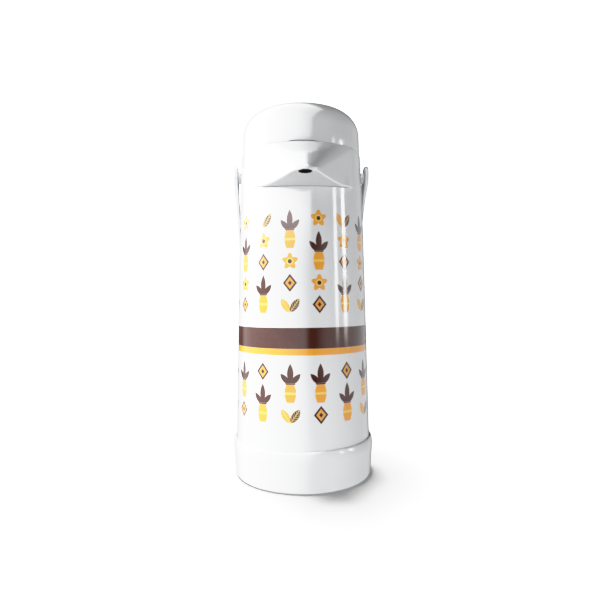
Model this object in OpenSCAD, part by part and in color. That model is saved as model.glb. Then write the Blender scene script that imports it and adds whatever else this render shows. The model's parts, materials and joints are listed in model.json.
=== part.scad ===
// Pump pot: a glass-lined vacuum jug with a press-down air pump in its hinged lid.
// The frame stands on the table at z = 0 with +Z up, the beak points to -Y, and
// the carry handle hangs behind the case on the +Y side. All sizes are millimetres.

/* [Case] */
// Height of the seam between case and lid
seam_z = 300; // [280:1:330]
// Outer radius of the case at the top edge of the base cup
case_r_low = 63.4; // [62:0.1:65]
// Slope of the case wall, in degrees
case_draft = 1.17; // [0.9:0.01:1.3]
// How much further the case draws in towards the seam
case_draw = 1.2; // [0.6:0.1:1.6]
// Wall of the case
case_wall = 2.2; // [1.8:0.1:2.6]
// How far the case reaches down into the base cup
skirt_depth = 20; // [14:1:24]

/* [Base cup] */
// Height of the base cup
base_h = 36; // [32:1:42]
// How far the belly of the base stands proud of the case
base_proud = 2.9; // [2.4:0.1:4]
// How much narrower the base is at the table than at its belly
base_taper = 1.8; // [1:0.1:2.2]
// Height of the rounded shoulder above the belly
base_shoulder_h = 8; // [5:0.5:12]
// Radius of the bottom edge
base_edge = 3; // [2:0.5:4]
// Thickness of the base floor and of the standing ring
base_floor = 2.5; // [2:0.1:3.5]
// Height of the hollow under the floor
base_hollow = 3; // [2:0.5:4]
// Radius of the centre foot
centre_foot_r = 14; // [10:1:20]
// Thickness of the top lip of the base cup
base_lip = 0.5; // [0.4:0.1:1]

/* [Beak] */
// How far below the seam the beak's underside meets the case
beak_drop = 39; // [34:1:44]
// How far the beak stands out from the case
beak_reach = 34.7; // [28:0.1:36]
// Radius of the beak's tip in plan
beak_tip_r = 14; // [11:0.5:16]
// Rise of the beak's underside towards the tip, in degrees
beak_rise = 9.6; // [6:0.1:12]
// Height of the lip at the tip
beak_lip = 1.8; // [1.4:0.1:3]
// Thickness of the plate that closes the beak from below
beak_floor_t = 1.8; // [1.4:0.1:2.4]

/* [Lid] */
// How far the lid's side stands in from the top edge of the case
lid_inset = 0.6; // [0.4:0.1:1.8]
// Height of the lid above the seam, button included
lid_h = 45; // [43:0.5:52]
// Slope of the lid's side, in degrees
lid_draft = 1.4; // [0.5:0.1:2.5]
// Radius of the lid's shoulder
lid_shoulder = 24; // [18:0.5:26]
// Radius of curvature of the crown
crown_r = 185; // [150:5:240]
// Wall of the lid
lid_wall = 2.2; // [1.8:0.1:2.6]
// Open seam between lid and case
seam_gap = 0.4; // [0.3:0.1:0.8]
// Width of the finger notch at the front of the seam
notch_w = 32; // [20:1:40]
// Height of the finger notch
notch_h = 1.2; // [0.8:0.1:2]

/* [Push button] */
// Radius of the push button
button_r = 35; // [30:0.5:36]
// How far the button stands proud of the crown
button_proud = 0.8; // [0.5:0.1:1.6]
// Radial play of the button in its guide
button_play = 0.5; // [0.3:0.1:0.8]
// Height of the button's skirt
button_skirt = 10; // [8:0.5:12]
// Travel of the button
button_travel = 20; // [14:1:22]

/* [Pump] */
// Outer radius of the bellows
bellows_r = 29; // [24:0.5:30]
// Depth of a bellows pleat
pleat_depth = 6; // [4:0.5:8]
// Number of pleats
pleats = 5; // [3:1:6]
// Wall of the bellows
bellows_wall = 1; // [0.8:0.1:1.4]
// Mean radius of the return spring
spring_r = 13; // [10:0.5:15]
// Wire radius of the return spring
spring_wire = 0.7; // [0.5:0.1:1]
// Turns of the return spring
spring_turns = 5; // [3:1:7]

/* [Deck and stopper] */
// How far below the seam the deck's plate lies
deck_drop = 22; // [20:1:26]
// Thickness of the deck's plate and skirt
deck_t = 2.4; // [2:0.1:3]
// Height of the sleeve under the deck
sleeve_h = 6; // [4:0.5:8]
// Radius of the stopper's plug
plug_r = 17; // [15:0.5:17]
// Radius of the stopper's flange
flange_r = 30; // [28:0.5:32]
// Height of the stopper's sealing wall above its flange
seal_wall_h = 12; // [10:0.5:12.5]
// How far in from the deck's edge the deck screws stand
deck_screw_inset = 7.5; // [7.5:0.1:9]

/* [Tubes] */
// Outer radius of the siphon tube and the delivery tube
tube_r = 4; // [3.5:0.1:4.2]
// Wall of both tubes
tube_wall = 1.2; // [0.9:0.1:1.5]
// Gap between the siphon tube and the bottom of the glass
siphon_gap = 6; // [4:0.5:10]
// Outer radius of the spout nozzle
nozzle_r = 6; // [5.5:0.1:6.5]
// Wall of the spout nozzle
nozzle_wall = 0.9; // [0.7:0.1:1.2]

/* [Vacuum flask] */
// Outer radius of the glass
flask_r = 50; // [44:0.5:52]
// Wall of each glass layer
glass_wall = 1.6; // [1.2:0.1:2]
// Vacuum gap between the two layers
vacuum_gap = 5; // [4:0.5:6]
// Vacuum gap in the neck
neck_gap = 2.6; // [2:0.1:3]
// Height of the glass neck
neck_h = 19; // [14:1:24]
// Height of the glass shoulder
flask_shoulder_h = 30; // [24:1:36]
// Height of the rounded bottom of the glass
flask_bottom_h = 28; // [20:1:34]
// Thickness of the rim that joins the two layers
rim_t = 2.5; // [2:0.1:3]
// Thickness of the rubber gasket on the rim
gasket_t = 2.5; // [2:0.1:3.5]
// Thickness of the rubber pad under the glass
pad_t = 6; // [4:0.5:8]

/* [Carry handle] */
// How far below the seam the handle's pivot lies
pivot_drop = 18.4; // [16:0.2:22]
// Distance from the pivot to the inside of the grip
handle_reach = 97; // [96.5:0.5:110]
// Thickness of the arm at the pivot
arm_t = 3.4; // [3:0.1:4]
// Thickness of the arm along its length
strap_t = 2.6; // [2.2:0.1:3]
// Thickness of the grip
grip_t = 5; // [4:0.5:7]
// Radius of the arm's round end
arm_end_r = 10; // [8:0.5:11]
// Half of the strap's width along the arm
strap_half = 7; // [5:0.5:8]
// Half of the grip's width
grip_half = 8; // [7:0.5:9]
// Radius of the bend between arm and grip
bend_r = 24; // [16:1:30]
// Height of the pivot boss on the case
boss_h = 3; // [2.4:0.1:4]
// Radius of the pivot boss
boss_r = 5; // [4.5:0.1:6]
// Radius of the pivot pin
pivot_r = 2.5; // [2:0.1:3]

/* [Hinge] */
// Radius of the lid hinge's knuckles
knuckle_r = 4; // [3.5:0.1:4.4]
// Radius of the hinge pin
hinge_pin_r = 1.5; // [1.2:0.1:2]
// Half of the width of the lid's knuckle
knuckle_half = 9; // [6:0.5:12]
// Width of each of the case's two knuckles
lug_w = 8; // [6:0.5:12]
// Height of the hinge axis above the seam
hinge_rise = 2; // [1.5:0.1:3]
// Gap between the knuckles and the case
hinge_gap = 0.7; // [0.5:0.1:1.2]

/* [Hidden] */

$fn = 96;
hull_fn = 64;
arc_step = 7.5;
crown_step = 1.5;
eps = 0.01;
over = 1;
slip = 0.15;
seat = 0.3;
pin_fit = 0.05;
far = 200;

// Case: its radius at a height, from the base cup's edge up to the seam
function rise_share(z) = max(0, z - base_h) / (seam_z - base_h);
function case_r(z) = case_r_low - (z - base_h) * tan(case_draft) - case_draw * pow(rise_share(z), 6);
case_rings = 12;
skirt_z = base_h - skirt_depth;
case_top_r = case_r(seam_z);

// Base cup
base_r = case_r_low + base_proud;
base_foot_r = base_r - base_taper;
base_bore_r = case_r(skirt_z) + slip;
base_top_r = base_bore_r + base_lip;
base_belly_z = base_h - base_shoulder_h;
base_ledge = 1.6;
base_floor_z = base_hollow + base_floor;
standing_ring_w = 3;

// Beak
beak_z = seam_z - beak_drop;
beak_root_r = case_r(beak_z);
beak_front = beak_root_r + beak_reach;
beak_tip_y = -(beak_front - beak_tip_r);
function underside_z(r) = beak_z + (r - beak_root_r) * tan(beak_rise);
beak_tip_z = underside_z(beak_front) + beak_lip;
ridge_slope = (seam_z - beak_tip_z) / (beak_front - case_top_r);
hull_inset = 0.3;
hull_below = 12;
floor_recess = 0.3;

// Deck and stopper, counted down from the seam
deck_z = seam_z - deck_drop;
deck_top = deck_z + deck_t;
deck_r = case_top_r - case_wall - slip;
deck_skirt_top = seam_z - 3;
sleeve_z = deck_z - sleeve_h;
sleeve_r = plug_r + 2;
stopper_gasket_t = 0.8;
stopper_gasket_r = flange_r - 6;
flange_z = deck_top + stopper_gasket_t;
flange_t = 2.6;
flange_top = flange_z + flange_t;
seal_wall_top = flange_top + seal_wall_h;
seal_wall_t = 4;
plug_tail = 10;
plug_z = sleeve_z - plug_tail;
boss_web = 3;
screw_head_h = 2;
screw_head_r = 2.8;
screw_r = 1.5;
screw_len = 12;
screw_boss_r = 3.6;
screw_boss_h = 16;
deck_screw_pcd_r = deck_r - deck_screw_inset;
deck_screw_angles = [90, 210, 330];

// Glass, counted down from the deck and up from the base floor
mouth_z = sleeve_z - gasket_t;
neck_top = mouth_z - rim_t;
neck_z = neck_top - neck_h;
shoulder_z = neck_z - flask_shoulder_h;
flask_z = base_floor_z + pad_t + seat;
glass_in_r = plug_r + 1;
neck_r = glass_in_r + 2 * glass_wall + neck_gap;
inner_inset = glass_wall + vacuum_gap;
neck_inset = glass_wall + neck_gap;
cavity_z = flask_z + inner_inset + glass_wall;

// Tubes: the delivery line falls from the stopper's hub to the nozzle
hub_rise = 12.6;
hub_z = deck_top + hub_rise;
nozzle_y = -(beak_front - case_wall - slip - nozzle_r);
nozzle_rise = 5.4;
nozzle_end_z = underside_z(-nozzle_y) + nozzle_rise;
fall = atan2(hub_z - nozzle_end_z, -nozzle_y);
line_len = -nozzle_y / cos(fall);
branch_r = tube_r + 1.2;
branch_bore_r = tube_r - tube_wall - 0.4;
branch_len = 34;
tube_socket = 10;
tube_end = line_len - nozzle_r + nozzle_wall;
siphon_socket = 14;

// Lid and button
lid_r = case_top_r - lid_inset;
lid_z = seam_z + seam_gap;
button_top = seam_z + lid_h;
crown_top = button_top - button_proud;
well_r = button_r + button_play;
guide_wall = 1.8;
plate_t = 2.2;
plate_z = lid_z + seat;
plate_top = plate_z + plate_t;
plate_r = lid_r - lid_wall - slip - 0.2;
lid_gasket_t = plate_z - seal_wall_top - seat;
cap_depth = 15;
bellows_top = button_top - cap_depth;
cap_t = 2;
cap_top = bellows_top + cap_t;
stem_r = 8;
button_wall = 2;
skirt_play_z = 2;
plate_screw_inset = 8.65;
plate_screw_pcd_r = plate_r - plate_screw_inset;
plate_screw_angles = [30, 150, 270];
notch_depth = 8;
catch_w = 14;
catch_t = 2;
catch_h = 10;
catch_gap = 0.6;
bead_r = 0.9;

// Handle
pivot_z = seam_z - pivot_drop;
boss_face = case_r(pivot_z) + boss_h;
arm_in = boss_face + seat;
arm_out = arm_in + arm_t;
strap_in = arm_out - strap_t;
grip_out_s = handle_reach + grip_t;
contact_z = pivot_z - 0.73 * handle_reach;
grip_diag = sqrt(pow(handle_reach, 2) + pow(grip_half, 2));
rest_angle = asin((case_r(contact_z) + seat) / grip_diag) + atan2(grip_half, handle_reach);
pin_head_r = 4;
pin_head_t = 1.2;
taper_len = 22;

// Hinge
hinge_y = case_top_r + hinge_gap + knuckle_r;
hinge_z = seam_z + hinge_rise;
knuckle_gap = 0.4;
pin_half = knuckle_half + knuckle_gap + lug_w;

// An arc's points about a centre, from angle a to angle b
function arc(cx, cy, rx, ry, a, b, step = arc_step) =
    let (n = max(2, ceil(abs(b - a) / step)))
    [for (i = [0 : n]) [cx + rx * cos(a + (b - a) * i / n), cy + ry * sin(a + (b - a) * i / n)]];

// The case's outline between two heights, at an inset from its outer face
function case_line(z0, z1, inset) =
    [for (i = [0 : case_rings]) let (z = z0 + (z1 - z0) * i / case_rings) [case_r(z) - inset, z]];

module case_solid(z0, z1, inset) {
    rotate_extrude()
        polygon(concat([[0, z0]], case_line(z0, z1, inset), [[0, z1]]));
}

// The beak's full form, running back into the case, at an inset from its outer face
module beak_form(inset) {
    drop = inset * (sqrt(1 + pow(ridge_slope, 2)) - ridge_slope);
    low_z = beak_z - hull_below;
    hull() {
        translate([0, 0, seam_z - drop - eps])
            cylinder(h = eps, r = case_top_r - hull_inset - inset, $fn = hull_fn);
        translate([0, 0, low_z])
            cylinder(h = eps, r = case_r(low_z) - hull_inset - inset, $fn = hull_fn);
        translate([0, beak_tip_y, low_z + hull_below / 2])
            cylinder(h = beak_tip_z - drop - low_z - hull_below / 2, r = beak_tip_r - inset, $fn = hull_fn);
    }
}

// Everything above the beak's underside, which rises outwards as a shallow cone
module above_underside(lift) {
    rotate_extrude()
        polygon([[0, underside_z(0) + lift], [far, underside_z(far) + lift], [far, seam_z + far], [0, seam_z + far]]);
}

// Ring with a bore
module ring(r_out, r_in, z0, z1) {
    translate([0, 0, z0])
        difference() {
            cylinder(h = z1 - z0, r = r_out);
            translate([0, 0, -over])
                cylinder(h = z1 - z0 + 2 * over, r = r_in);
        }
}

// Cylinder between two heights
module post(r, z0, z1) {
    translate([0, 0, z0])
        cylinder(h = z1 - z0, r = r);
}

// Children placed along the delivery line, whose own +Z runs from the hub to the nozzle
module on_delivery_line(start) {
    translate([0, 0, hub_z])
        rotate([90 + fall, 0, 0])
            translate([0, 0, start])
                children();
}

// Children copied at angles on a circle
module around(radius, angles) {
    for (a = angles)
        rotate([0, 0, a])
            translate([radius, 0, 0])
                children();
}

// Cylinder along X, from x0 to x1
module x_rod(r, x0, x1) {
    translate([x0, 0, 0])
        rotate([0, 90, 0])
            cylinder(h = x1 - x0, r = r);
}

// Flat plate in the YZ plane, from x0 to x1
module x_plate(points, x0, x1) {
    translate([x0, 0, 0])
        rotate([90, 0, 90])
            linear_extrude(height = x1 - x0)
                polygon(points);
}

// ---- Case ----

module case_lugs() {
    lug_drop = 14;
    web = [
        [case_top_r - case_wall / 2, seam_z - lug_drop],
        [case_top_r + 0.4, seam_z - lug_drop],
        [hinge_y + knuckle_r - 0.1, hinge_z - 0.8],
        [hinge_y, hinge_z],
        [case_top_r + hinge_gap + 1, seam_z - 0.2],
        [case_top_r - case_wall / 2, seam_z - 0.2]
    ];
    for (side = [0, 1])
        mirror([side, 0, 0]) {
            x_plate(web, knuckle_half + knuckle_gap, pin_half);
            translate([0, hinge_y, hinge_z])
                x_rod(knuckle_r, knuckle_half + knuckle_gap, pin_half);
        }
}

module deck_boss() {
    wall_r = case_r(deck_z - screw_boss_h) - case_wall / 2;
    post(screw_boss_r, deck_z - screw_boss_h, deck_z - slip);
    translate([0, -boss_web / 2, deck_z - screw_boss_h])
        cube([wall_r - deck_screw_pcd_r, boss_web, screw_boss_h - slip]);
}

module body_shell() {
    color("white")
        difference() {
            union() {
                difference() {
                    union() {
                        case_solid(skirt_z, seam_z, 0);
                        intersection() {
                            beak_form(0);
                            above_underside(0);
                        }
                    }
                    case_solid(skirt_z - eps, seam_z + eps, case_wall);
                    intersection() {
                        beak_form(case_wall);
                        above_underside(-eps);
                    }
                }
                around(deck_screw_pcd_r, deck_screw_angles)
                    deck_boss();
                for (side = [0, 1])
                    mirror([side, 0, 0])
                        translate([0, 0, pivot_z])
                            x_rod(boss_r, case_r(pivot_z) - case_wall / 2, boss_face);
                case_lugs();
            }
            around(deck_screw_pcd_r, deck_screw_angles)
                post(screw_r + pin_fit, deck_z - screw_len - over, deck_z + over);
            translate([0, 0, pivot_z])
                x_rod(pivot_r + pin_fit, -case_r_low - boss_h, case_r_low + boss_h);
            translate([0, hinge_y, hinge_z])
                x_rod(hinge_pin_r + pin_fit, -pin_half - over, pin_half + over);
        }
}

module beak_floor() {
    color("gainsboro")
        difference() {
            intersection() {
                beak_form(case_wall + slip);
                difference() {
                    above_underside(floor_recess);
                    above_underside(floor_recess + beak_floor_t);
                }
            }
            post(beak_root_r - case_wall, 0, seam_z);
            translate([0, nozzle_y, 0])
                post(nozzle_r + slip, beak_z - over, seam_z);
        }
}

module spout_nozzle() {
    color([0.12, 0.11, 0.11])
        difference() {
            intersection() {
                translate([0, nozzle_y, 0])
                    post(nozzle_r, beak_z, seam_z);
                beak_form(case_wall + slip);
                above_underside(floor_recess);
            }
            translate([0, nozzle_y, 0])
                post(nozzle_r - nozzle_wall, beak_z - over, nozzle_end_z);
            on_delivery_line(line_len - 2 * nozzle_r)
                cylinder(h = 2 * nozzle_r, r = tube_r + pin_fit);
        }
}

// ---- Base ----

module base_cup() {
    edge_x = base_foot_r - base_edge;
    hollow_r = edge_x - standing_ring_w;
    ledge_r = base_bore_r - base_ledge;
    underside = [[0, 0], [centre_foot_r, 0], [centre_foot_r, base_hollow], [hollow_r, base_hollow], [hollow_r, 0]];
    outside = concat(
        arc(edge_x, base_edge, base_edge, base_edge, -90, 0),
        arc(base_top_r, base_belly_z, base_r - base_top_r, base_shoulder_h, 0, 90)
    );
    inside = [
        [base_bore_r, base_h], [base_bore_r, skirt_z - slip], [ledge_r, skirt_z - slip],
        [ledge_r, base_floor_z], [0, base_floor_z]
    ];
    color("white")
        rotate_extrude()
            polygon(concat(underside, outside, inside));
}

// Solid of a bottle: radius, neck radius, bottom, shoulder and neck heights, top
module bottle(r, nr, z0, zs, zn, z1) {
    rotate_extrude()
        polygon(concat(
            arc(0, z0 + flask_bottom_h, r, flask_bottom_h, -90, 0),
            arc(nr, zs, r - nr, zn - zs, 0, 90),
            [[nr, z1], [0, z1]]
        ));
}

// The glass's form at an inset from its outer face, with the neck's own inset
module glass_form(inset, neck_side, top) {
    bottle(flask_r - inset, neck_r - neck_side, flask_z + inset, shoulder_z - inset / 2, neck_z - inset, top);
}

module flask_pad() {
    color([0.2, 0.2, 0.21])
        difference() {
            post(0.8 * flask_r, base_floor_z, base_floor_z + pad_t + flask_bottom_h / 2);
            glass_form(-seat, -seat, neck_top);
            post(centre_foot_r, base_floor_z - over, base_floor_z + far);
        }
}

module flask_outer() {
    color([0.75, 0.78, 0.8])
        difference() {
            glass_form(0, 0, neck_top);
            glass_form(glass_wall, glass_wall, neck_top + over);
        }
}

module flask_inner() {
    color([0.82, 0.85, 0.88])
        difference() {
            union() {
                glass_form(inner_inset, neck_inset, mouth_z);
                post(neck_r, neck_top, mouth_z);
            }
            glass_form(inner_inset + glass_wall, neck_inset + glass_wall, mouth_z + over);
        }
}

module flask_spacers() {
    pad_r = 6;
    gap_in = flask_r - inner_inset + seat;
    pad_thick = vacuum_gap - 3 * seat;
    color("tan")
        around(gap_in, [30, 150, 270])
            translate([0, 0, flask_z + flask_bottom_h + 2 * pad_r])
                x_rod(pad_r, 0, pad_thick);
}

module neck_gasket() {
    lip = 1.6;
    color([0.16, 0.16, 0.17])
        difference() {
            post(neck_r + lip + seat, mouth_z - 2 * rim_t, sleeve_z);
            post(neck_r + seat, mouth_z - 2 * rim_t - over, mouth_z);
            post(glass_in_r, mouth_z - over, sleeve_z + over);
        }
}

// ---- Deck, stopper and tubes ----

module neck_deck() {
    skirt_in = deck_r - deck_t;
    slot_w = 2 * branch_r + 4;
    color("ghostwhite")
        difference() {
            union() {
                ring(deck_r, sleeve_r, deck_z, deck_top);
                ring(neck_r + 1, sleeve_r, sleeve_z, deck_top);
                ring(deck_r, skirt_in, deck_z, deck_skirt_top);
            }
            // Front slot for the delivery line
            translate([-slot_w / 2, -far, deck_z - over])
                cube([slot_w, far - stopper_gasket_r - 3, 10]);
            // Window for the bead of the lid's catch
            translate([-catch_w / 2 - seat, -far, seam_z - catch_h - 2 * bead_r])
                cube([catch_w + 2 * seat, far - deck_r / 2, 4 * bead_r]);
            around(deck_screw_pcd_r, deck_screw_angles)
                post(screw_r + 2 * pin_fit, deck_z - over, deck_top + over);
        }
}

module deck_screws() {
    color("silver")
        around(deck_screw_pcd_r, deck_screw_angles) {
            post(screw_r, deck_top - screw_len, deck_top + screw_head_h / 2);
            difference() {
                post(screw_head_r, deck_top, deck_top + screw_head_h);
                for (a = [0, 90])
                    rotate([0, 0, a])
                        translate([-screw_r, -0.3, deck_top + screw_head_h / 2])
                            cube([2 * screw_r, 0.6, screw_head_h]);
            }
        }
}

module stopper_gasket() {
    color([0.16, 0.16, 0.17])
        ring(stopper_gasket_r, sleeve_r, deck_top, flange_z);
}

module pump_stopper() {
    air_holes = 3;
    hub_r = 8;
    color("whitesmoke")
        difference() {
            union() {
                post(plug_r, plug_z, flange_top);
                post(flange_r, flange_z, flange_top);
                ring(flange_r, flange_r - seal_wall_t, flange_z, seal_wall_top);
                post(hub_r, plug_z, hub_z + branch_r);
                on_delivery_line(0)
                    cylinder(h = branch_len, r = branch_r);
            }
            post(tube_r - tube_wall, plug_z - over, hub_z + branch_bore_r / 2);
            post(tube_r + pin_fit, plug_z - over, plug_z + siphon_socket);
            on_delivery_line(0)
                cylinder(h = branch_len + over, r = branch_bore_r);
            on_delivery_line(branch_len - tube_socket)
                cylinder(h = tube_socket + over, r = tube_r + pin_fit);
            for (i = [0 : air_holes - 1])
                rotate([0, 0, 90 + 360 * i / air_holes])
                    translate([(hub_r + plug_r) / 2, 0, 0])
                        post(1.5, plug_z - over, flange_top + over);
        }
}

module siphon_tube() {
    color("ivory")
        ring(tube_r, tube_r - tube_wall, cavity_z + siphon_gap, plug_z + siphon_socket - seat);
}

module delivery_tube() {
    start = branch_len - tube_socket + seat;
    color([0.9, 0.9, 0.88])
        on_delivery_line(start)
            difference() {
                cylinder(h = tube_end - start, r = tube_r);
                translate([0, 0, -over])
                    cylinder(h = tube_end - start + 2 * over, r = tube_r - tube_wall);
            }
}

// ---- Hinge and handle ----

module hinge_pin() {
    color("silver")
        translate([0, hinge_y, hinge_z])
            x_rod(hinge_pin_r, -pin_half, pin_half);
}

module handle_pins() {
    color("white")
        for (side = [0, 1])
            mirror([side, 0, 0])
                translate([0, 0, pivot_z]) {
                    x_rod(pivot_r, case_r(pivot_z) - case_wall, arm_out);
                    x_rod(pin_head_r, arm_out - pin_head_t, arm_out);
                }
}

// Points in the opposite order
function reversed(points) = [for (i = [len(points) - 1 : -1 : 0]) points[i]];

// Points mirrored about x = 0, in the opposite order
function mirrored(points) = [for (i = [len(points) - 1 : -1 : 0]) [-points[i][0], points[i][1]]];

// The bail's outline in its own plane: x across, y away from the grip
module bail_front() {
    outer = concat(
        arc(arm_out - bend_r - grip_t, -grip_out_s + bend_r + grip_t, bend_r + grip_t, bend_r + grip_t, -90, 0),
        [[arm_out, arm_end_r + over]]
    );
    inner = concat(
        [[arm_in, arm_end_r + over], [arm_in, -arm_end_r], [strap_in, -arm_end_r - taper_len]],
        arc(strap_in - bend_r, -handle_reach + bend_r, bend_r, bend_r, 0, -90)
    );
    polygon(concat(mirrored(outer), outer, inner, mirrored(inner)));
}

// Side outline of the bail: x along the strap's width, y away from the grip
module bail_side() {
    half = [
        [strap_half, -arm_end_r - taper_len], [strap_half, -handle_reach + bend_r],
        [grip_half, -handle_reach], [grip_half, -grip_out_s]
    ];
    polygon(concat(arc(0, 0, arm_end_r, arm_end_r, 180, 0), half, mirrored(half)));
}

module carry_handle() {
    color("white")
        translate([0, 0, pivot_z])
            rotate([rest_angle, 0, 0])
                difference() {
                    intersection() {
                        translate([0, arm_end_r + over, 0])
                            rotate([90, 0, 0])
                                linear_extrude(height = 2 * (arm_end_r + over))
                                    bail_front();
                        translate([-far / 2, 0, 0])
                            rotate([90, 0, 90])
                                linear_extrude(height = far)
                                    bail_side();
                    }
                    x_rod(pivot_r + 2 * pin_fit, -far / 2, far / 2);
                    for (side = [0, 1])
                        mirror([side, 0, 0])
                            x_rod(pin_head_r + pin_fit, arm_out - pin_head_t - 2 * pin_fit, arm_out + over);
                }
}

// ---- Lid ----

// Outline of the dome at an inset from its outer face
function dome_line(inset) =
    let (
        side_r = lid_r - inset,
        fillet = lid_shoulder - inset,
        crown = crown_r - inset,
        crown_cz = crown_top - crown_r,
        reach = crown - fillet,
        rough_z = crown_cz + sqrt(pow(reach, 2) - pow(side_r - fillet, 2)),
        fillet_x = side_r - (rough_z - lid_z) * tan(lid_draft) - fillet,
        fillet_z = crown_cz + sqrt(pow(reach, 2) - pow(fillet_x, 2)),
        turn = atan2(fillet_z - crown_cz, fillet_x)
    )
    concat(
        [[side_r, lid_z]],
        arc(fillet_x, fillet_z, fillet, fillet, lid_draft, turn),
        arc(0, crown_cz, crown, crown, turn, 90, crown_step)
    );

module dome(inset) {
    rotate_extrude()
        polygon(concat([[0, lid_z]], dome_line(inset)));
}

module lid_knuckle() {
    web = [
        [lid_r - lid_wall, lid_z],
        [lid_r + 0.3, lid_z],
        [hinge_y, hinge_z],
        [hinge_y + knuckle_r / 2, hinge_z + 0.8 * knuckle_r],
        [lid_r - 0.3, hinge_z + 2.2 * knuckle_r],
        [lid_r - lid_wall, hinge_z + 2.2 * knuckle_r]
    ];
    x_plate(web, -knuckle_half, knuckle_half);
    translate([0, hinge_y, hinge_z])
        x_rod(knuckle_r, -knuckle_half, knuckle_half);
}

module lid_shell() {
    guide_z = cap_top - button_travel;
    color("white")
        difference() {
            union() {
                difference() {
                    dome(0);
                    difference() {
                        translate([0, 0, -eps])
                            dome(lid_wall);
                        intersection() {
                            ring(well_r + guide_wall, well_r, guide_z, button_top);
                            dome(lid_wall / 2);
                        }
                        intersection() {
                            around(plate_screw_pcd_r, plate_screw_angles)
                                post(screw_boss_r, plate_top + slip, button_top);
                            dome(lid_wall / 2);
                        }
                    }
                    post(well_r, guide_z, button_top + over);
                }
                lid_knuckle();
            }
            around(plate_screw_pcd_r, plate_screw_angles)
                post(screw_r + pin_fit, plate_z - over, plate_top + screw_len);
            translate([-notch_w / 2, -lid_r - over, lid_z - over])
                cube([notch_w, notch_depth, over + notch_h]);
            translate([0, hinge_y, hinge_z])
                x_rod(hinge_pin_r + 2 * pin_fit, -knuckle_half - over, knuckle_half + over);
        }
}

module lid_plate() {
    air_holes = 4;
    air_ring_r = 5;
    seat_r = bellows_r + seat;
    color("gainsboro")
        difference() {
            union() {
                post(plate_r, plate_z, plate_top);
                ring(seat_r + 1.5, seat_r, plate_z, plate_top + 2);
            }
            post(1.6, plate_z - over, plate_top + over);
            around(air_ring_r, [for (i = [0 : air_holes - 1]) 45 + 360 * i / air_holes])
                post(1.2, plate_z - over, plate_top + over);
            around(plate_screw_pcd_r, plate_screw_angles)
                post(screw_r + 2 * pin_fit, plate_z - over, plate_top + over);
            around(plate_screw_pcd_r, plate_screw_angles)
                post(screw_head_r + 2 * pin_fit, plate_z - over, plate_z + screw_head_h / 2);
        }
}

module plate_screws() {
    color("silver")
        around(plate_screw_pcd_r, plate_screw_angles) {
            post(screw_head_r, plate_z, plate_z + screw_head_h / 2);
            post(screw_r, plate_z, plate_z + screw_len);
        }
}

module lid_gasket() {
    color([0.16, 0.16, 0.17])
        ring(flange_r, flange_r - seal_wall_t, plate_z - lid_gasket_t, plate_z);
}

module lid_catch() {
    face = -(deck_r - deck_t - catch_gap);
    low = plate_z - catch_h;
    color("gainsboro") {
        translate([-catch_w / 2, face, low])
            cube([catch_w, catch_t, catch_h]);
        translate([0, face, seam_z - catch_h + bead_r])
            x_rod(bead_r, -catch_w / 2 + over, catch_w / 2 - over);
    }
}

module check_valve() {
    disc_r = 7.5;
    disc_t = 1;
    stem = 1.5;
    color([0.16, 0.16, 0.17]) {
        post(disc_r, plate_z - disc_t, plate_z);
        post(stem, plate_z - disc_t, plate_top + disc_t);
        post(2 * stem, plate_top, plate_top + disc_t);
    }
}

// ---- Pump ----

// Zigzag of the bellows: a crest at the middle of each pleat
function pleat_line(offset) =
    let (pitch = (bellows_top - plate_top - 2 * bellows_wall) / pleats)
    [for (i = [0 : 2 * pleats]) [
        (i % 2 == 0 ? bellows_r - pleat_depth : bellows_r) - offset,
        plate_top + bellows_wall + i * pitch / 2
    ]];

module bellows() {
    inner = pleat_line(bellows_wall);
    outer = pleat_line(0);
    color([0.35, 0.36, 0.38]) {
        rotate_extrude()
            polygon(concat(outer, reversed(inner)));
        ring(bellows_r, bellows_r - pleat_depth - bellows_wall, plate_top, plate_top + bellows_wall + eps);
        ring(bellows_r, bellows_r - pleat_depth - bellows_wall, bellows_top - bellows_wall - eps, bellows_top);
    }
}

// A coil of round wire swept along a helix, closed by flat ends
module coil(radius, wire, z0, z1, turns) {
    sides = 8;
    per_turn = 20;
    rings = turns * per_turn;
    pitch_step = (z1 - z0) / rings;
    points = [
        for (i = [0 : rings], j = [0 : sides - 1])
            let (turn = 360 * i / per_turn, side = 360 * j / sides, reach = radius + wire * cos(side))
            [reach * cos(turn), reach * sin(turn), z0 + i * pitch_step + wire * sin(side)]
    ];
    skin = [
        for (i = [0 : rings - 1], j = [0 : sides - 1])
            let (k = (j + 1) % sides)
            [i * sides + j, i * sides + k, (i + 1) * sides + k, (i + 1) * sides + j]
    ];
    first = [for (j = [sides - 1 : -1 : 0]) j];
    last = [for (j = [0 : sides - 1]) rings * sides + j];
    polyhedron(points = points, faces = concat(skin, [first], [last]));
}

module return_spring() {
    color("silver")
        coil(spring_r, spring_wire, plate_top + spring_wire + slip, bellows_top - spring_wire - slip, spring_turns);
}

module bellows_cap() {
    intake_r = 2.5;
    color("gainsboro")
        difference() {
            post(bellows_r + 1, bellows_top, cap_top);
            post(intake_r, bellows_top - over, cap_top + over);
        }
}

module intake_valve() {
    flap_r = 6;
    flap_t = 1;
    color([0.16, 0.16, 0.17])
        post(flap_r, bellows_top - flap_t, bellows_top);
}

// Crown of the button in section, at an inset from its outer face, out to a radius
function crown_line(inset, r) =
    arc(0, button_top - crown_r, crown_r - inset, crown_r - inset, 90, acos(r / (crown_r - inset)), crown_step);

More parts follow.
